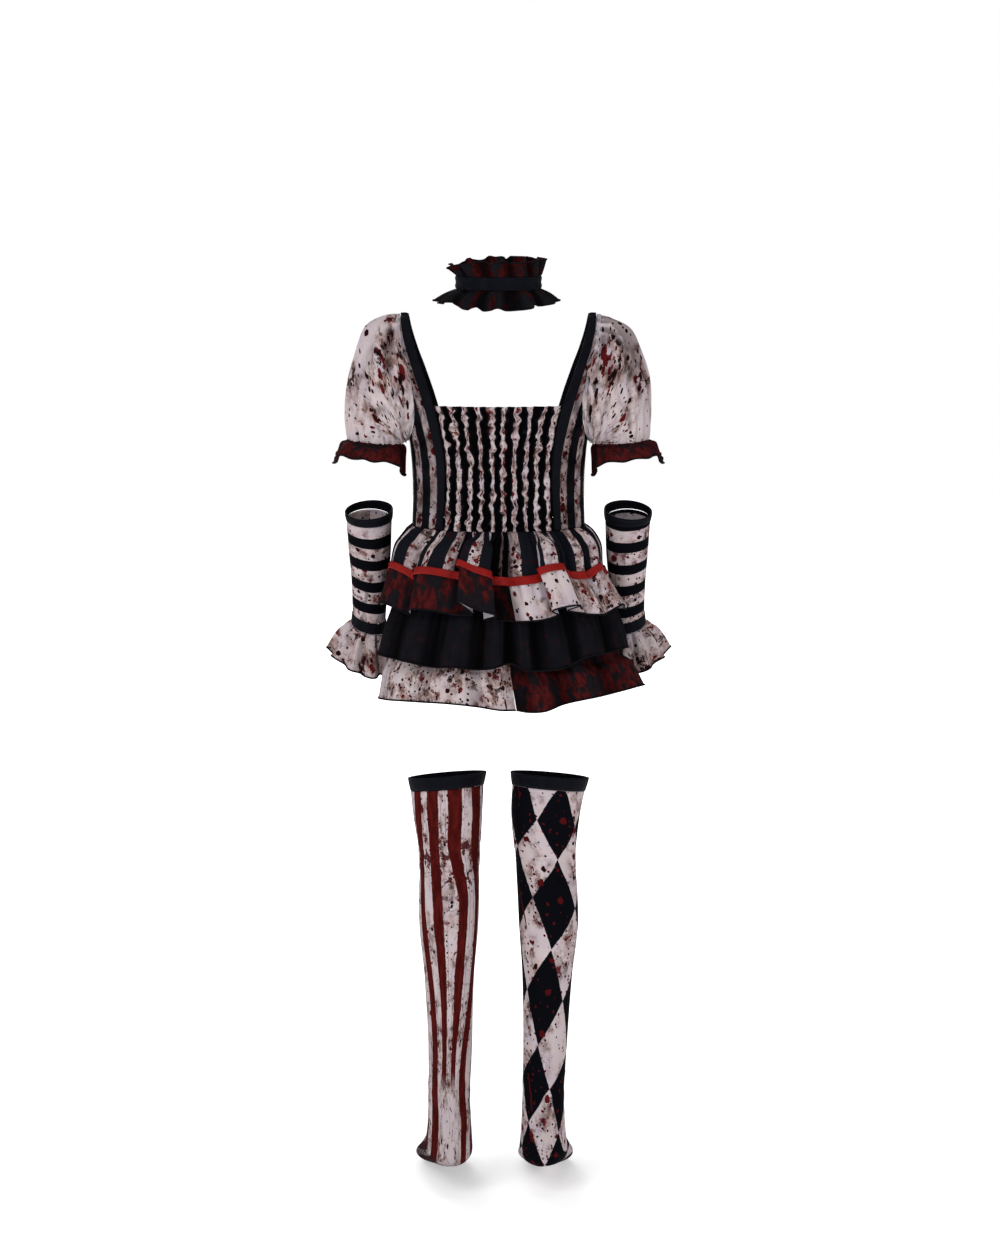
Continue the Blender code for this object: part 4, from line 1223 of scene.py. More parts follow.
class Paint:
    """A material in the making. Patterns are laid out in millimetres on a piece's own cloth."""

    def __init__(self, name, roughness, uv="cloth", specular=0.01):
        self.material = bpy.data.materials.new(name)
        self.material.use_nodes = True
        self.tree = self.material.node_tree
        self.shader = self.tree.nodes["Principled BSDF"]
        self.shader.inputs["Roughness"].default_value = roughness
        self.shader.inputs["Specular IOR Level"].default_value = specular
        uv_map = self.node("ShaderNodeUVMap", {"uv_map": uv}, {})
        self.place = self.vectors("SCALE", {"Vector": uv_map, "Scale": 1000.0})
        self.x, self.y = self.split(self.place)

    def node(self, kind, settings, sockets, output=0):
        """Adds a node: its settings first, then the values or wires of its sockets."""
        node = self.tree.nodes.new(kind)
        for name, value in settings.items():
            setattr(node, name, value)
        for name, value in sockets.items():
            if isinstance(value, Wire):
                self.tree.links.new(value.socket, node.inputs[name])
            else:
                node.inputs[name].default_value = value
        return Wire(self, node.outputs[output])

    def vectors(self, operation, sockets):
        """A Vector Math node."""
        return self.node("ShaderNodeVectorMath", {"operation": operation}, sockets)

    def split(self, place):
        """The x and y of a place."""
        x = self.node("ShaderNodeSeparateXYZ", {}, {"Vector": place})
        return x, x.output("Y")

    def joined(self, x, y):
        """The place at an x and y."""
        return self.node("ShaderNodeCombineXYZ", {}, {"X": x, "Y": y})

    def mix(self, factor, first, second, blend="MIX"):
        """The first colour with a share of the second mixed or blended into it."""
        settings = {"data_type": "RGBA", "blend_type": blend}
        return self.node("ShaderNodeMix", settings, {0: factor, 6: first, 7: second}, 2)

    def ease(self, value, low, high):
        """0 below low and 1 above high, and smooth between them."""
        sockets = {"Value": value, "From Min": low, "From Max": high}
        return self.node("ShaderNodeMapRange", {"interpolation_type": "SMOOTHSTEP"}, sockets)

    def from_middle(self, periods):
        """How far a place is from the nearest whole period, from 0 to a half."""
        return abs((periods + 0.5) % 1.0 - 0.5)

    def moved(self, place, seed):
        """A place far off, where the noise is different for each seed."""
        return self.vectors("ADD", {0: place, 1: (631.7 * seed, 317.3 * seed, 0.0)})

    def stretched(self, place, across, down):
        """A place with its x and y multiplied, which draws patterns out where the factor is below 1."""
        return self.vectors("MULTIPLY", {0: place, 1: (across, down, 1.0)})

    def cloudy(self, place, size, detail=2.0, roughness=0.5):
        """Noise from 0 to 1 whose patches are about this many millimetres."""
        sockets = {"Vector": place, "Scale": 1 / size, "Detail": detail, "Roughness": roughness}
        return self.node("ShaderNodeTexNoise", {"noise_dimensions": "2D"}, sockets)

    def bent(self, place, size, far):
        """A place moved aside by noise, to make what is drawn there ragged."""
        noisy = self.cloudy(place, size, 3.0, 0.6).output("Color")
        shift = self.vectors("SUBTRACT", {0: noisy, 1: (0.5,) * 3})
        return self.vectors("ADD", {0: place, 1: self.vectors("SCALE", {"Vector": shift, "Scale": far})})

    def patches(self, seed, edge, size, detail, roughness):
        """Noise in patches of about this size, whose edge is bent by noise of a size and a reach."""
        place = self.bent(self.moved(self.place, seed), *edge)
        return self.cloudy(place, size, detail, roughness)

    def drops(self, place, spacing, largest, common, seed, ragged=1.0):
        """Splashed drops: their spacing and largest radius, and how common large ones are, from 0 to 1."""
        there = self.bent(self.moved(place, seed), 0.8 * largest + 1.0, ragged * largest)
        sockets = {"Vector": there, "Scale": 1 / spacing, "Randomness": 1.0}
        cell = self.node("ShaderNodeTexVoronoi", {"voronoi_dimensions": "2D"}, sockets)
        pick = self.split(cell.output("Color"))[0]
        radius = self.ease(pick, 1 - common, 1.0) * largest
        return self.ease(radius - cell * spacing, 0.0, 0.3)

    def runs(self, place, spacing, width, length, common, seed):
        """Drips and streaks that run down the cloth."""
        return self.drops(self.stretched(place, 1.0, width / length), spacing, width, common, seed, 0.8)

    def splashed(self, splashes, kind):
        """The red blots (kind 1) or dark drops (kind 2) at given places of the print, slightly ragged."""
        there = self.bent(self.place, 4.0, 2.6)
        nearest = 2.0
        for splash in splashes:
            start_x, start_y = splash[0]
            for x, y, radius in splash[kind]:
                middle = (start_x + x, start_y - y, 0.0)
                off = self.vectors("DISTANCE", {0: there, 1: middle}).output("Value") / radius
                nearest = off.less_of(nearest)
        return self.ease(nearest, 1.0, 0.86)

    def finished(self, colour, height=None, depth=0.0004):
        """Links the colour and the relief, in metres, to the shader."""
        self.tree.links.new(colour.socket, self.shader.inputs["Base Color"])
        if height is not None:
            bump = self.node("ShaderNodeBump", {}, {"Strength": 0.6, "Distance": depth, "Height": height})
            self.tree.links.new(bump.socket, self.shader.inputs["Normal"])
        return self.material

    def tint(self, name, share=1.0):
        """A colour of the panel, or a share of it."""
        return dimmed(getattr(bpy.context.scene.costume_colours, name), share)

    def painted_fold_shade(self, colour, most):
        """Painted shade: darkens the colour of the cloth, with a slight warm tint, in its tucks and hollows.
        """
        shade = self.mix(self.attribute("tuck") * most, (1.0, 1.0, 1.0, 1.0), (0.10, 0.07, 0.07, 1.0))
        return self.mix(1.0, colour, shade, "MULTIPLY")

    def attribute(self, name):
        """The tuck or splash that sew has given each place of the cloth."""
        return self.node("ShaderNodeAttribute", {"attribute_name": name}, {}, "Fac")

    def weave(self):
        """The relief of a plain weave, with slight creases of the cloth."""
        threads = self.x.waves(THREAD) * self.y.waves(THREAD) * 0.12
        slubs = self.cloudy(self.stretched(self.place, 1.0, 0.15), 1.2, 1.0) * 0.15
        return threads + slubs + self.cloudy(self.place, 9.0, 3.0) * 1.6

    def knit(self):
        """The relief of the fine ribs of a stretch knit."""
        ribs = self.x.waves(KNIT_RIB) * 0.18
        rows = self.y.waves(KNIT_ROW) * 0.10
        return ribs + rows + self.cloudy(self.place, 14.0, 2.0) * 0.9


def dimmed(colour, share):
    """A share of a colour, at full strength."""
    return (*(share * c for c in colour[:3]), 1.0)


def blended(first, second, share):
    """A colour a share of the way from one to another."""
    return tuple(a + (b - a) * share for a, b in zip(first, second))


def bone_cloth(paint):
    """The unprinted ground: bone, pinkish and lilac in places."""
    bone = paint.tint("bone")
    lilac = blended(bone, (0.41, 0.35, 0.42, 1.0), 0.5)
    rosy = blended(bone, (0.50, 0.36, 0.34, 1.0), 0.5)
    ground = paint.mix(paint.ease(paint.cloudy(paint.place, 34.0), 0.4, 0.7), bone, lilac)
    flush = paint.ease(paint.cloudy(paint.moved(paint.place, 1), 21.0), 0.5, 0.75)
    return paint.mix(flush * 0.7, ground, rosy)


def splattered(paint, amount=1.0, red=0.5, smudge=1.0, splashes=()):
    """Bone cloth under a brownish grain, smudges, dark red blots and near-black drops, in heavy patches."""
    place, ground = paint.place, bone_cloth(paint)
    umber = (0.085, 0.040, 0.032, 1.0)
    rust = (0.21, 0.120, 0.098, 1.0)
    clot = (0.0125, 0.0032, 0.0040, 1.0)
    patchy = paint.cloudy(paint.moved(place, 2), 44.0, 2.0) + paint.attribute("splash") * 0.2
    heavy = paint.ease(patchy, 0.38, 0.64)
    grain = paint.ease(paint.cloudy(place, 3.2, 4.0, 0.7), 0.48, 0.80)
    colour = paint.mix(grain * (heavy * 0.45 + 0.18) * smudge, ground, umber)
    smear = paint.stretched(paint.bent(place, 11.0, 14.0), 1.0, 0.6)
    flow = paint.cloudy(smear, 12.0, 5.0, 0.64)
    colour = paint.mix(paint.ease(flow, 0.38, 0.58) * heavy * (0.75 * smudge), colour, rust)
    colour = paint.mix(paint.ease(flow, 0.52, 0.66) * heavy * (0.85 * smudge), colour, umber)
    few, many = heavy * (0.35 * amount) + 0.2 * amount, heavy * (0.45 * amount) + 0.38 * amount
    blots = paint.drops(place, 23.0, 4.6, few * red * 1.5, 4, 1.2)
    specks = paint.drops(place, 12.0, 1.8, many * (red * 0.8), 5, 0.6)
    streaks = paint.runs(place, 18.0, 1.4, 9.0, few * red, 6)
    wet = blots.more_of(specks).more_of(streaks)
    if splashes:
        wet = wet.more_of(paint.splashed(splashes, 1))
    pooled = paint.ease(paint.patches(14, (5.0, 7.0), 15.0, 4.0, 0.62), 0.60, 0.63)
    colour = paint.mix(wet.more_of(pooled * heavy * (2 * red * smudge)), colour, paint.tint("blood", 0.85))
    clots = paint.ease(paint.patches(10, (4.0, 7.0), 13.0, 5.0, 0.64), 0.575, 0.605)
    dark = paint.drops(place, 19.0, 3.0, many, 7, 0.9)
    dots = paint.drops(place, 7.5, 1.6, many, 8, 0.3)
    drips = paint.runs(place, 26.0, 1.4, 12.0, few, 9)
    dry = (clots * heavy * smudge).more_of(dark).more_of(dots).more_of(drips)
    if splashes:
        dry = dry.more_of(paint.splashed(splashes, 2))
    return paint.mix(dry, colour, clot)


def splattered_cotton(name):
    """Bone cotton with splashes, some of them in set places."""
    paint = Paint(name, 0.85)
    spotted = splattered(paint, splashes=COTTON_SPLASHES)
    # painted shade in the tucks and hollows of the cloth
    return paint.finished(paint.painted_fold_shade(spotted, 0.65), paint.weave())


def striped_cotton(name):
    """Black stripes with slightly uneven edges, and bone ones centred on whole periods."""
    paint = Paint(name, 0.82)
    spotted = splattered(paint, 0.75, 0.8, 0.8, STRIPE_SPLASHES)
    period = 1000 * bpy.context.scene.costume_sizes.stripe
    wavy = paint.x + (paint.cloudy(paint.place, 9.0, 3.0) - 0.5) * 1.6
    black = paint.ease(paint.from_middle(wavy / period), 0.245, 0.262)
    colour = paint.mix(black, spotted, (0.0062, 0.0068, 0.0100, 1.0))
    stains = paint.ease(paint.cloudy(paint.moved(paint.place, 11), 16.0, 4.0, 0.65), 0.60, 0.70)
    colour = paint.mix(stains * black * 0.3, colour, paint.tint("blood", 0.4))
    # painted shade in the tucks and hollows of the cloth
    return paint.finished(paint.painted_fold_shade(colour, 0.95), paint.weave())


def mottled(name, share, redness):
    """Dark red with upright ragged black patches, spots and runs.

    A larger share makes more of it black, as a heavy splash does, and redness is how bright the red is.
    """
    paint = Paint(name, 0.8)
    place = paint.place
    wine, rust = dimmed((0.024, 0.0040, 0.0048), redness), dimmed((0.062, 0.0075, 0.0075), redness)
    slate = (0.0070, 0.0086, 0.0110, 1.0)
    tone = paint.cloudy(paint.stretched(place, 1.0, 0.6), 9.0, 6.0, 0.72)
    ground = paint.mix(paint.ease(tone, 0.36, 0.64), wine, rust)
    tall = paint.stretched(paint.bent(place, 7.0, 8.0), 1.0, 0.6)
    broad = paint.cloudy(paint.moved(tall, 12), 17.0, 2.0, 0.5)
    fine = paint.cloudy(paint.moved(tall, 16), 5.0, 5.0, 0.75)
    blacker = paint.attribute("splash") * 0.06
    patches = paint.ease(broad * 0.78 + fine * 0.22 + blacker, 0.50 - share, 0.57 - share)
    spots = paint.drops(place, 9.0, 1.9, 0.45, 13, 0.6)
    blots = paint.drops(place, 19.0, 4.4, 0.45, 19, 1.0)
    runs = paint.runs(place, 19.0, 1.7, 16.0, 0.4, 17)
    black = paint.mix(paint.cloudy(place, 7.0, 4.0, 0.7), dimmed(slate, 0.4), dimmed(slate, 1.2))
    colour = paint.mix(patches.more_of(spots).more_of(blots).more_of(runs) * 0.92, ground, black)
    # painted shade in the tucks and hollows of the cloth
    return paint.finished(paint.painted_fold_shade(colour, 0.8), paint.weave())


def red_black_cotton(name):
    """The mottled cotton of the skirt and the sleeve ruffles."""
    return mottled(name, -0.025, 1.0)


def choker_cotton(name):
    """The mottled cotton of the choker, which is blacker."""
    return mottled(name, 0.06, 0.6)


def black_cotton(name):
    """Blue grey black, uneven in tone, with faint dark red stains; painted shade darkens its tucks and
    hollows, so that it looks blue grey on the crests of its folds.
    """
    paint = Paint(name, 0.78)
    slate = (0.0062, 0.0063, 0.0084, 1.0)
    worn = paint.mix(paint.cloudy(paint.place, 26.0, 4.0), dimmed(slate, 0.5), dimmed(slate, 1.3))
    stains = paint.ease(paint.patches(14, (6.0, 9.0), 13.0, 4.0, 0.7), 0.57, 0.68)
    flecks = paint.drops(paint.place, 16.0, 3.0, 0.4, 15, 1.0)
    colour = paint.mix(stains.more_of(flecks) * 0.25, worn, paint.tint("blood", 0.4))
    # painted shade in the tucks and hollows of the cloth
    return paint.finished(paint.painted_fold_shade(colour, 0.95), paint.weave())


def satin_ribbon(name):
    """Scarlet satin, streaked along the ribbon."""
    paint = Paint(name, 0.45, specular=0.12)
    tone = paint.cloudy(paint.stretched(paint.place, 0.35, 1.0), 5.0, 3.0)
    colour = paint.mix(tone, paint.tint("scarlet", 0.72), paint.tint("scarlet", 1.2))
    relief = paint.x.waves(SATIN_RIB) * 0.2 + paint.cloudy(paint.place, 6.0, 2.0)
    return paint.finished(colour, relief, 0.0005)


def banded_knit(name):
    """Bone knit with black bands round the arm."""
    paint = Paint(name, 0.85)
    spotted = splattered(paint, 0.9, 0.7, 0.6)
    level = paint.y + (paint.cloudy(paint.place, 26.0, 2.0) - 0.5) * 2.4
    black = paint.ease(paint.from_middle(level / BAND_PITCH), 0.243, 0.227)
    colour = paint.mix(black, spotted, paint.tint("ink"))
    return paint.finished(colour, paint.knit())


def striped_knit(name):
    """Bone knit with upright brick red stripes and thin lines between them."""
    paint = Paint(name, 0.85)
    spotted = splattered(paint, 0.75, 0.45, 0.7)
    down = abs(paint.y)

    def upright(share, size, detail, roughness=0.5):
        """Noise in patches that are drawn out down the leg."""
        return paint.cloudy(paint.stretched(paint.place, 1.0, share), size, detail, roughness)

    ragged = (upright(0.35, 5.0, 3.0, 0.7) - 0.5) * 3.4
    wavy = paint.x + (upright(0.2, 8.0, 2.0) - 0.5) * 1.6 + ragged
    off = abs((wavy / RED_STRIPE_CUT) % 1.0 - 0.5)
    uneven = (upright(0.12, 14.0, 1.0) - 0.5) * 0.1
    tone = paint.ease(upright(0.25, 6.0, 4.0, 0.65), 0.35, 0.72)
    brick = paint.mix(tone, paint.tint("brick", 0.30), paint.tint("brick", 0.66))
    middle_stripes = paint.ease(abs(paint.x), RED_STRIPE_CUT + 2.0, RED_STRIPE_CUT - 4.0)
    worn_off = middle_stripes * paint.ease(down + ragged * 8, *WORN_OFF)
    colour = paint.mix(paint.ease(off + uneven, 0.26, 0.24) * (1.0 - worn_off), spotted, brick)
    lines = paint.ease(abs(off - 0.37 + uneven * 0.6), 0.016, 0.008)
    broken = paint.ease(upright(0.1, 11.0, 1.0), 0.46, 0.54)
    thin = blended(paint.tint("ink"), paint.tint("brick"), 0.45)
    colour = paint.mix(lines * broken * 0.8, colour, thin)
    knee = paint.ease(abs(down - KNEE), 45.0, 12.0) * 0.17
    heel = paint.ease(down, *HEEL) * 0.12
    stains = paint.cloudy(paint.bent(paint.place, 6.0, 8.0), 14.0, 4.0, 0.65)
    blood = paint.ease(stains + knee + heel, 0.66, 0.70)
    colour = paint.mix(blood * 0.95, colour, paint.tint("blood", 0.5))
    return paint.finished(paint.mix(heel * 6, colour, paint.tint("ink", 1.5)), paint.knit())


def diamond_knit(name):
    """Bone knit with tall black diamonds, and red spots and slanting drips over both."""
    paint = Paint(name, 0.85)
    spotted = splattered(paint, 0.7, 0.7, 0.7)
    ragged = (paint.cloudy(paint.place, 4.0, 3.0) - 0.5) * 0.025
    across = paint.from_middle(paint.x / DIAMOND_CUT[0])
    down = paint.from_middle(paint.y / DIAMOND_CUT[1])
    black = paint.ease(across + down + ragged, 0.506, 0.494)
    colour = paint.mix(black, spotted, paint.tint("ink"))
    red = paint.tint("blood", 0.62)
    spots = paint.drops(paint.place, 21.0, 4.6, 0.45, 21, 1.4)
    spots = spots.more_of(paint.drops(paint.place, 8.0, 1.8, 0.5, 23, 0.8))
    leant = paint.joined(paint.x + paint.y * 0.35, paint.y)
    drips = paint.runs(leant, 17.0, 1.7, 24.0, 0.8, 22)
    colour = paint.mix(spots.more_of(drips), colour, red)
    heel = paint.ease(abs(paint.y), *HEEL) * 0.6
    return paint.finished(paint.mix(heel, colour, paint.tint("ink", 1.5)), paint.knit())


def wrong_side(name):
    """The back of the printed cottons, where the print shows through faintly."""
    paint = Paint(name, 0.88)
    ghost = paint.ease(paint.cloudy(paint.place, 12.0, 3.0), 0.42, 0.68)
    colour = paint.mix(ghost * 0.6, paint.tint("reverse"), paint.tint("reverse", 0.55))
    return paint.finished(colour, paint.weave())


def stitched_tape(name):
    """Black tape with a row of stitches along each edge."""
    paint = Paint(name, 0.72, uv="edge", specular=0.03)
    ink = paint.tint("ink")
    worn = paint.mix(paint.cloudy(paint.place, 12.0, 3.0), dimmed(ink, 0.8), dimmed(ink, 2.0))
    row = paint.ease(abs(paint.y - STITCH_ROW), 0.45, 0.15)
    thread = row * paint.ease(abs((paint.x / STITCH) % 1.0 - 0.5), 0.36, 0.28)
    colour = paint.mix(thread, worn, dimmed(ink, 4.2))
    relief = paint.x.waves(TAPE_RIB) * 0.15 + row * -0.8 + thread * 1.2
    return paint.finished(colour, relief, 0.0006)


def pale_floor(name):
    """Matt white floor with a painted glow, dimmer under the costume and full further out.

    The floor shades lightly under the costume, from the lamps' shadows and the dimmer painted glow, and
    fades into the white behind it.
    """
    paint = Paint(name, 0.9)
    place = paint.node("ShaderNodeTexCoord", {}, {}, "Object")
    level = paint.vectors("MULTIPLY", {0: place, 1: (1.0, 1.0, 0.0)})
    far = paint.vectors("LENGTH", {"Vector": level}).output("Value")
    # painted glow: dim near the middle of the floor, white beyond about a metre
    glow = paint.mix(paint.ease(far, 0.25, 1.3), (0.42, 0.42, 0.42, 1.0), (1.0, 1.0, 1.0, 1.0))
    paint.tree.links.new(glow.socket, paint.shader.inputs["Emission Color"])
    paint.shader.inputs["Emission Strength"].default_value = 1.0
    speckle = paint.cloudy(paint.vectors("SCALE", {"Vector": place, "Scale": 1000.0}), 3.0)
    return paint.finished(paint.mix(speckle, (0.82, 0.82, 0.82, 1.0), (0.86, 0.86, 0.86, 1.0)))


FINISHES = {  # each look: what makes its material, and the size that says how thick its cloth is
    "Pale floor": (pale_floor, None),
    "Splattered cotton": (splattered_cotton, "cloth"),
    "Striped cotton": (striped_cotton, "cloth"),
    "Red and black cotton": (red_black_cotton, "cloth"),
    "Choker cotton": (choker_cotton, "cloth"),
    "Black cotton": (black_cotton, "cloth"),
    "Satin ribbon": (satin_ribbon, "ribbon"),
    "Banded knit": (banded_knit, "knit"),
    "Striped knit": (striped_knit, "knit"),
    "Diamond knit": (diamond_knit, "knit"),
    "Wrong side": (wrong_side, "cloth"),
    "Stitched tape": (stitched_tape, "tape"),
}


def finish(look):
    """The material of a look, made when it is first asked for."""
    return bpy.data.materials.get(look) or FINISHES[look][0](look)


# ---------------------------------------------------------------- pieces


class CostumeBodice(bpy.types.Operator):
    """Make the shirred back, the striped side panels and the front panel"""

    bl_idname = "costume.bodice"
    bl_label = "Bodice"

    def execute(self, context):
        sizes = context.scene.costume_sizes
        shirred = sew(
            "back_shirred_cloth", middle_panel(CHEST_Z + 1), (180, 120), shirred_cut(1000 * sizes.stripe),
            "Striped cotton", wrong_side=True, relief=shirring(1000 * sizes.puff), reach=(0.6, 3.0),
            stain=lambda u, v: 0.9 - 0.5 * v,
        )
        panels = (
            ("side_back_left", side_back, -1),
            ("side_back_right", mirrored(side_back), 1),
            ("side_front_left", to_front(side_back), 1),
            ("side_front_right", to_front(mirrored(side_back)), -1),
        )
        for seed, (name, surface, towards_tape) in enumerate(panels):
            panel = sew(
                f"{name}_cloth", surface, (24, 120), self.side_cut(towards_tape), "Striped cotton",
                wrong_side=True, start=(0, 400 * seed), relief=self.ease_of(seed), reach=(-0.9, 0.9),
                stain=lambda u, v: 0.8,
            )
            tape = f"strap_{name.split('_')[-1]}_tape"
        front = sew(
            "front_panel_cloth", to_front(middle_panel(FRONT_NECK_Z)), (90, 80), flat(138, 122),
            "Striped cotton", wrong_side=True, start=(-69, 1900), relief=self.ease_of(9), reach=(-1.2, 0.5),
        )
        return {"FINISHED"}

    @staticmethod
    def ease_of(seed):
        """The slight slackness of a plain panel, held at its edges."""

        def height(u, v):
            held = ease(u, 0.0, 0.15) * ease(1 - u, 0.0, 0.15) * ease(v, 0.0, 0.05) * ease(1 - v, 0.0, 0.04)
            return held * (0.5 * wobble(4 * u, 22 * v, 30 + seed) - 0.5 * crease(2 * u, 11 * v, 40 + seed))

        return height

    @staticmethod
    def side_cut(towards_tape):
        """The stripes of a side panel are counted from the tape."""

        def cut(u, v):
            z = shoulder_height(v)
            outer, inner = side_turns(z)
            width = 90 * (inner - outer) * (0.45 + 0.55 * ease(-z, 0, 110))
            from_tape = width * ((1 - u) if towards_tape < 0 else u)
            return -towards_tape * (3.0 - from_tape), SIDE_PANEL_LENGTH * v

        return cut


class CostumeStraps(bpy.types.Operator):
    """Make the tapes over the shoulders and the binding of the front neckline"""

    bl_idname = "costume.straps"
    bl_label = "Straps"

    def execute(self, context):
        over = lifted(strap, self.rise)
        for side, twin in SIDES:
            piece = sew(f"strap_{side}_tape", twin(over), (6, 200), flat(11.0, 560.0), "Stitched tape")
        edge = to_front(middle_panel(FRONT_NECK_Z + FRONT_BINDING, FRONT_NECK_Z + SEAM))
        binding = sew(
            "front_neck_binding_tape", lifted(edge, lambda u, v: 0.8 + 0.5 * sin(pi * v)), (110, 6),
            flat(150.0, 9.5), "Stitched tape",
        )
        return {"FINISHED"}

    @staticmethod
    def rise(u, v):
        """How far the tape stands out: it is slightly gathered, and creased up at the top of the shoulder."""
        creased = 3.4 * max(1 - abs(v - 0.497) / 0.014, 0.0) * (0.6 + 0.4 * u)
        return 0.8 + 0.5 * sin(pi * u) + 0.45 * wobble(2 * u, 60 * v, 51) + creased


class CostumeSleeves(bpy.types.Operator):
    """Make the puffed sleeves and their ruffles"""

    bl_idname = "costume.sleeves"
    bl_label = "Sleeves"

    def execute(self, context):
        for seed, (side, twin) in zip((61, 71), SIDES):
            sleeve = sew(
                f"sleeve_{side}_cloth", twin(puff), (180, 80), flat(*SLEEVE_CUT), "Splattered cotton",
                closed=True, wrong_side=True, start=(10 * seed, 0), relief=puff_folds(seed, side),
                reach=(-4.5, 0.0), stain=sleeve_stain(side),
            )
            ruffle = twin(sleeve_ruffle(seed + 5))
            hem = roll(f"sleeve_ruffle_{side}_hem", ruffle, 1.0, 240, True)
            piece = sew(
                f"sleeve_ruffle_{side}_cloth", ruffle, (240, 20), flat(330.0, 34.0), "Red and black cotton",
                closed=True, start=(20 * seed, 500),
            )
        return {"FINISHED"}


def make_tier_part(name, surface, grid, size, look, slot, **how):
    """Makes a tier or half of one, with its rolled hem. What else is given goes to sew."""
    hem = roll(f"{name}_hem", lifted(surface, how["relief"]), 1.0, grid[0], how.get("closed", False))
    cut = flat(1000 * size[0], 1000 * size[1])
    piece = sew(f"{name}_cloth", surface, grid, cut, look, wrong_side=slot != "black_cotton", **how)
    return piece, hem


class CostumePeplum(bpy.types.Operator):
    """Make the striped peplum, its two-coloured band and its ribbon"""

    bl_idname = "costume.peplum"
    bl_label = "Peplum"

    def execute(self, context):
        sizes = context.scene.costume_sizes
        tier = Tier(PEPLUM, UPPER_FOLDS)
        folds = pleats(tier.around, gathers(tier.around, 13.0, 1.1, 0.7, 81))
        top = tier.surface(PEPLUM[0][0], PEPLUM_LOW_Z)
        peplum = sew(
            "peplum_cloth", top, (600, 22),
            lambda u, v: (1000 * sizes.stripe * stripe_at(u * tier.around), 60.0 * v), "Striped cotton",
            closed=True, wrong_side=True, start=(0, 2300), relief=folds, sunk=tier.hollows(),
            reach=(-7.0, 2.5), stain=lambda u, v: 0.6 - 0.3 * v,
        )
        halves = (
            ("peplum_band_right", "Splattered cotton", "splattered_cotton"),
            ("peplum_band_left", "Red and black cotton", "red_black_cotton"),
        )
        for seed, ((name, look, slot), ends) in enumerate(zip(halves, tier.halves())):
            piece, hem = make_tier_part(
                name, tier.surface(*PEPLUM_BAND_Z, *ends), (380, 24), (0.57, 0.047), look, slot,
                start=(3000 + 1000 * seed, 0), relief=gathers(tier.half, 21.0, 1.1, 1.0, 83 + seed),
                sunk=tier.hollows(*ends), reach=(-9.0, 0.5),
                stain=lambda u, v: 1.6 * ease(u, 0.2, 0.3) - 0.6,
            )
        trim = lifted(tier.surface(*RIBBON_Z), lambda u, v: 2.3 + 0.5 * wobble(160 * u, 2 * v, 85))
        ribbon = sew("peplum_ribbon_satin", trim, (640, 4), flat(1100.0, 9.5), "Satin ribbon", closed=True)
        return {"FINISHED"}


class CostumeSkirt(bpy.types.Operator):
    """Make the black middle tier and the two halves of the lower tier"""

    bl_idname = "costume.skirt"
    bl_label = "Skirt"

    def execute(self, context):
        middle = Tier(MIDDLE_TIER, MIDDLE_FOLDS)
        surface = middle.surface(MIDDLE_TIER[0][0], MIDDLE_TIER[-1][0])
        piece, hem = make_tier_part(
            "middle_tier", surface, (480, 26), (1.0, 0.162), "Black cotton", "black_cotton",
            closed=True, relief=gathers(middle.around, 13.0, 1.5, 1.4, 91), sunk=middle.hollows(),
            reach=(-5.0, 3.0),
        )
        lower = Tier(LOWER_TIER, LOWER_FOLDS)
        halves = (
            ("lower_tier_right", "Red and black cotton", "red_black_cotton", (-8.0, 4.0)),
            ("lower_tier_left", "Splattered cotton", "splattered_cotton", (-9.0, 0.5)),
        )
        for seed, ((name, look, slot, reach), ends) in enumerate(zip(halves, lower.halves())):
            band = lower.surface(LOWER_TIER[0][0], LOWER_TIER[-1][0], *ends)
            half, hem = make_tier_part(
                name, band, (300, 28), (0.52, 0.085), look, slot, start=(5000 + 1000 * seed, 0),
                relief=gathers(lower.half, 24.0, 1.5, 1.3, 95 + seed), sunk=lower.hollows(*ends), reach=reach,
                stain=lambda u, v: 0.3,
            )
        return {"FINISHED"}


class CostumeChoker(bpy.types.Operator):
    """Make the choker with its two ruffles"""

    bl_idname = "costume.choker"
    bl_label = "Choker"

    def execute(self, context):
        band = sew(
            "choker_band_tape", lifted(choker(CHOKER_BAND, 0), self.rise), (200, 12), flat(320.0, 15.0),
            "Stitched tape", closed=True,
        )
        ruffles = (
            ("choker_upper_ruffle", CHOKER_UPPER_RUFFLE, 0.0),
            ("choker_lower_ruffle", CHOKER_LOWER_RUFFLE, 1.0),
        )
        for seed, (name, rings, edge_v) in enumerate(ruffles):
            surface = choker(rings, 101 + seed)
            hem = roll(f"{name}_hem", surface, edge_v, 300, True, 0.8)
            piece = sew(
                f"{name}_cloth", surface, (300, 12), flat(560.0, 26.0), "Choker cotton", closed=True,
                start=(7000, 300 * seed), sunk=choker_valleys(101 + seed), reach=(-0.9, 0.6),
                stain=lambda u, v: 1.4 * seed - 0.7,
            )
        return {"FINISHED"}

    @staticmethod
    def rise(u, v):
        """How far the band stands out: two ridges run round it, and a seam crosses it at the back."""
        return 0.5 + 0.9 * sin(2 * pi * v) ** 2 - 1.1 * max(1 - abs(u - 0.252) / 0.004, 0)


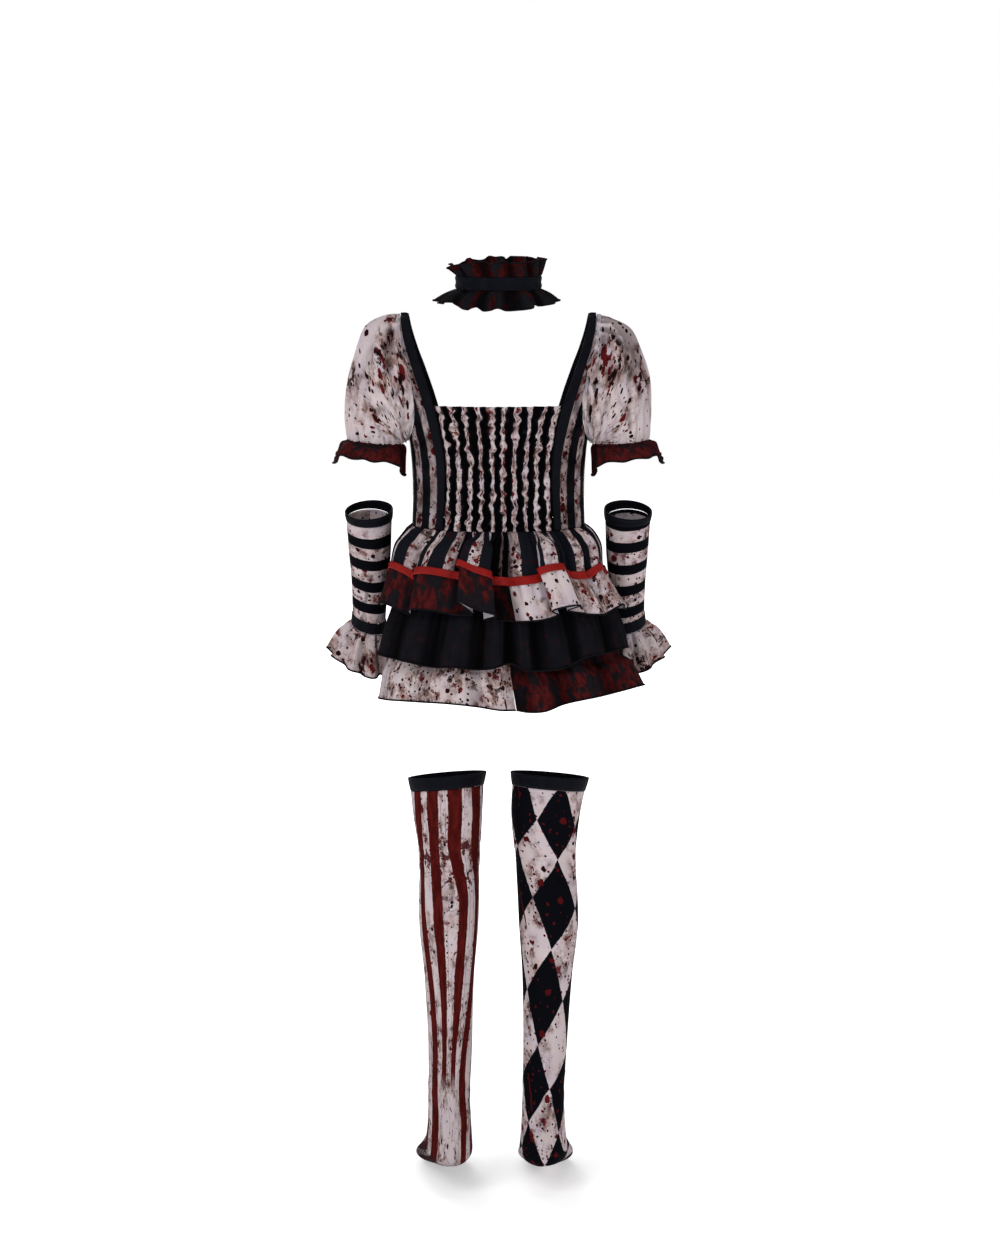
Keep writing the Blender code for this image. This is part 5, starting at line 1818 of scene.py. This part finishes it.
class CostumeArmWarmers(bpy.types.Operator):
    """Make the banded arm warmers with their black bands and wrist ruffles"""

    bl_idname = "costume.arm_warmers"
    bl_label = "Arm warmers"

    def execute(self, context):
        for seed, first_band, (side, twin) in zip((2.3, 5.1), (20.7, 26.0), SIDES):
            tube = sew(
                f"arm_warmer_{side}_knit", twin(forearm(ARM[1][0] - SEAM, ARM[-2][0] + SEAM, 0.0, seed)),
                (80, 64), flat(150.0, ARM[1][0] - ARM[-2][0]), "Banded knit", closed=True,
                start=(900 * seed, first_band), stain=lambda u, v: 0.2 + v,
            )
            for name, rows in (("arm_band", ARM[:2]), ("wrist_band", ARM[-2:])):
                top, low = rows[0][0], rows[1][0]
                rib = lifted(forearm(top, low, 0.8), self.rise)
                cut = flat(170.0, top - low)
                band = sew(f"{name}_{side}_tape", twin(rib), (140, 10), cut, "Stitched tape", closed=True)
                MM * (top - low)
            ruffle = twin(wrist_ruffle(30 * seed))
            hem = roll(f"wrist_ruffle_{side}_hem", ruffle, 1.0, 260, True)
            piece = sew(
                f"wrist_ruffle_{side}_cloth", ruffle, (230, 28), flat(300.0, 50.0), "Splattered cotton",
                closed=True, wrong_side=True, start=(3500 + 300 * seed, 900), stain=lambda u, v: 0.4,
            )
        return {"FINISHED"}

    @staticmethod
    def rise(u, v):
        """How far a band stands out: it is crowned and ribbed."""
        return 0.4 * sin(pi * v) + 0.25 * wobble(50 * u, 1, 4)


class CostumeStockings(bpy.types.Operator):
    """Make the striped and the diamond stocking with their bands"""

    bl_idname = "costume.stockings"
    bl_label = "Stockings"

    def execute(self, context):
        left, right = Leg(1), Leg(-1)
        for name, leg, cut, look, slot in (
            ("left", left, left.stripes_cut, "Striped knit", "striped_knit"),
            ("right", right, right.diamonds_cut, "Diamond knit", "diamond_knit"),
        ):
            knit = lifted(leg.stocking, knit_folds(110 + leg.side))
            stocking = sew(f"stocking_{name}_knit", knit, (84, 230), cut, look, closed=True)
            rib = lifted(leg.band, lambda u, v: 0.4 * sin(pi * v) + 0.2 * wobble(60 * u, 1, 5))
            band = sew(
                f"stocking_band_{name}_tape", rib, (200, 10), flat(290.0, 15.5), "Stitched tape", closed=True
            )
        return {"FINISHED"}


class CostumeStage(bpy.types.Operator):
    """Make the pale floor, the studio light and the camera"""

    bl_idname = "costume.stage"
    bl_label = "Stage"

    def execute(self, context):
        self.make_floor()
        self.make_world(context.scene)
        for name, place, size, watts in LAMPS:
            lamp = bpy.data.lights.new(name, "AREA")
            lamp.size = size
            lamp.energy = watts
            light = bpy.data.objects.new(name, lamp)
            self.aim(light, place, LAMP_AIM)
            context.scene.collection.objects.link(light)
        camera = bpy.data.objects.new("camera", bpy.data.cameras.new("camera"))
        camera.data.lens = CAMERA_LENS
        camera.data.sensor_width = FILM
        camera.data.sensor_fit = "VERTICAL"
        camera.data.sensor_height = FILM
        self.aim(camera, CAMERA_PLACE, CAMERA_AIM)
        context.scene.collection.objects.link(camera)
        context.scene.camera = camera
        context.scene.view_settings.view_transform = "Standard"
        return {"FINISHED"}

    @staticmethod
    def aim(thing, place, target):
        """Puts a lamp or the camera in its place and turns it towards a target."""
        thing.location = place
        thing.rotation_euler = (Vector(target) - Vector(place)).to_track_quat("-Z", "Y").to_euler()

    @staticmethod
    def make_floor():
        """A pale disc just under the lowest point of the costume."""
        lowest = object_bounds()[0][2]
        shape = bmesh.new()
        bmesh.ops.create_circle(shape, cap_ends=True, segments=96, radius=FLOOR_RADIUS)
        bmesh.ops.translate(shape, verts=shape.verts, vec=(0, 0, lowest - FLOOR_GAP))
        mesh = bpy.data.meshes.new("floor")
        shape.to_mesh(mesh)
        shape.free()
        floor = bpy.data.objects.new("floor", mesh)
        mesh.materials.append(finish("Pale floor"))
        bpy.context.scene.collection.objects.link(floor)
        floor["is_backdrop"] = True

    @staticmethod
    def make_world(scene):
        """White behind the costume, and a softer light from all round."""
        world = bpy.data.worlds.new("studio")
        scene.world = world
        world.use_nodes = True
        nodes, links = world.node_tree.nodes, world.node_tree.links
        background = nodes["Background"]
        background.inputs["Color"].default_value = (1.0, 1.0, 1.0, 1.0)
        rays = nodes.new("ShaderNodeLightPath")
        strength = nodes.new("ShaderNodeMapRange")
        strength.inputs["To Min"].default_value = STUDIO_LIGHT
        strength.inputs["To Max"].default_value = 1.0
        links.new(rays.outputs["Is Camera Ray"], strength.inputs["Value"])
        links.new(strength.outputs["Result"], background.inputs["Strength"])


class CostumePanel(bpy.types.Panel):
    """Lists the pieces of the costume"""

    bl_idname = "COSTUME_PT_panel"
    bl_label = "Clown costume"
    bl_space_type = "VIEW_3D"
    bl_region_type = "UI"
    bl_category = "Costume"

    def draw(self, context):
        for piece in PIECES:
            self.layout.operator(piece.bl_idname)
        for group in (context.scene.costume_colours, context.scene.costume_sizes):
            box = self.layout.box()
            for name in group.__annotations__:
                box.prop(group, name)


PIECES = (
    CostumeStage, CostumeStraps, CostumeBodice, CostumeSleeves, CostumePeplum, CostumeSkirt, CostumeChoker,
    CostumeArmWarmers, CostumeStockings,
)
CLASSES = (CostumeColours, CostumeSizes, *PIECES, CostumePanel)


def register():
    for item in CLASSES:
        bpy.utils.register_class(item)
    bpy.types.Scene.costume_colours = PointerProperty(type=CostumeColours)
    bpy.types.Scene.costume_sizes = PointerProperty(type=CostumeSizes)


def unregister():
    del bpy.types.Scene.costume_sizes
    del bpy.types.Scene.costume_colours
    for item in reversed(CLASSES):
        bpy.utils.unregister_class(item)


def main():
    """Makes the costume."""
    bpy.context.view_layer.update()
    register()
    for piece in PIECES:
        group, name = piece.bl_idname.split(".")
        getattr(getattr(bpy.ops, group), name)()


if __name__ == "__main__":
    main()
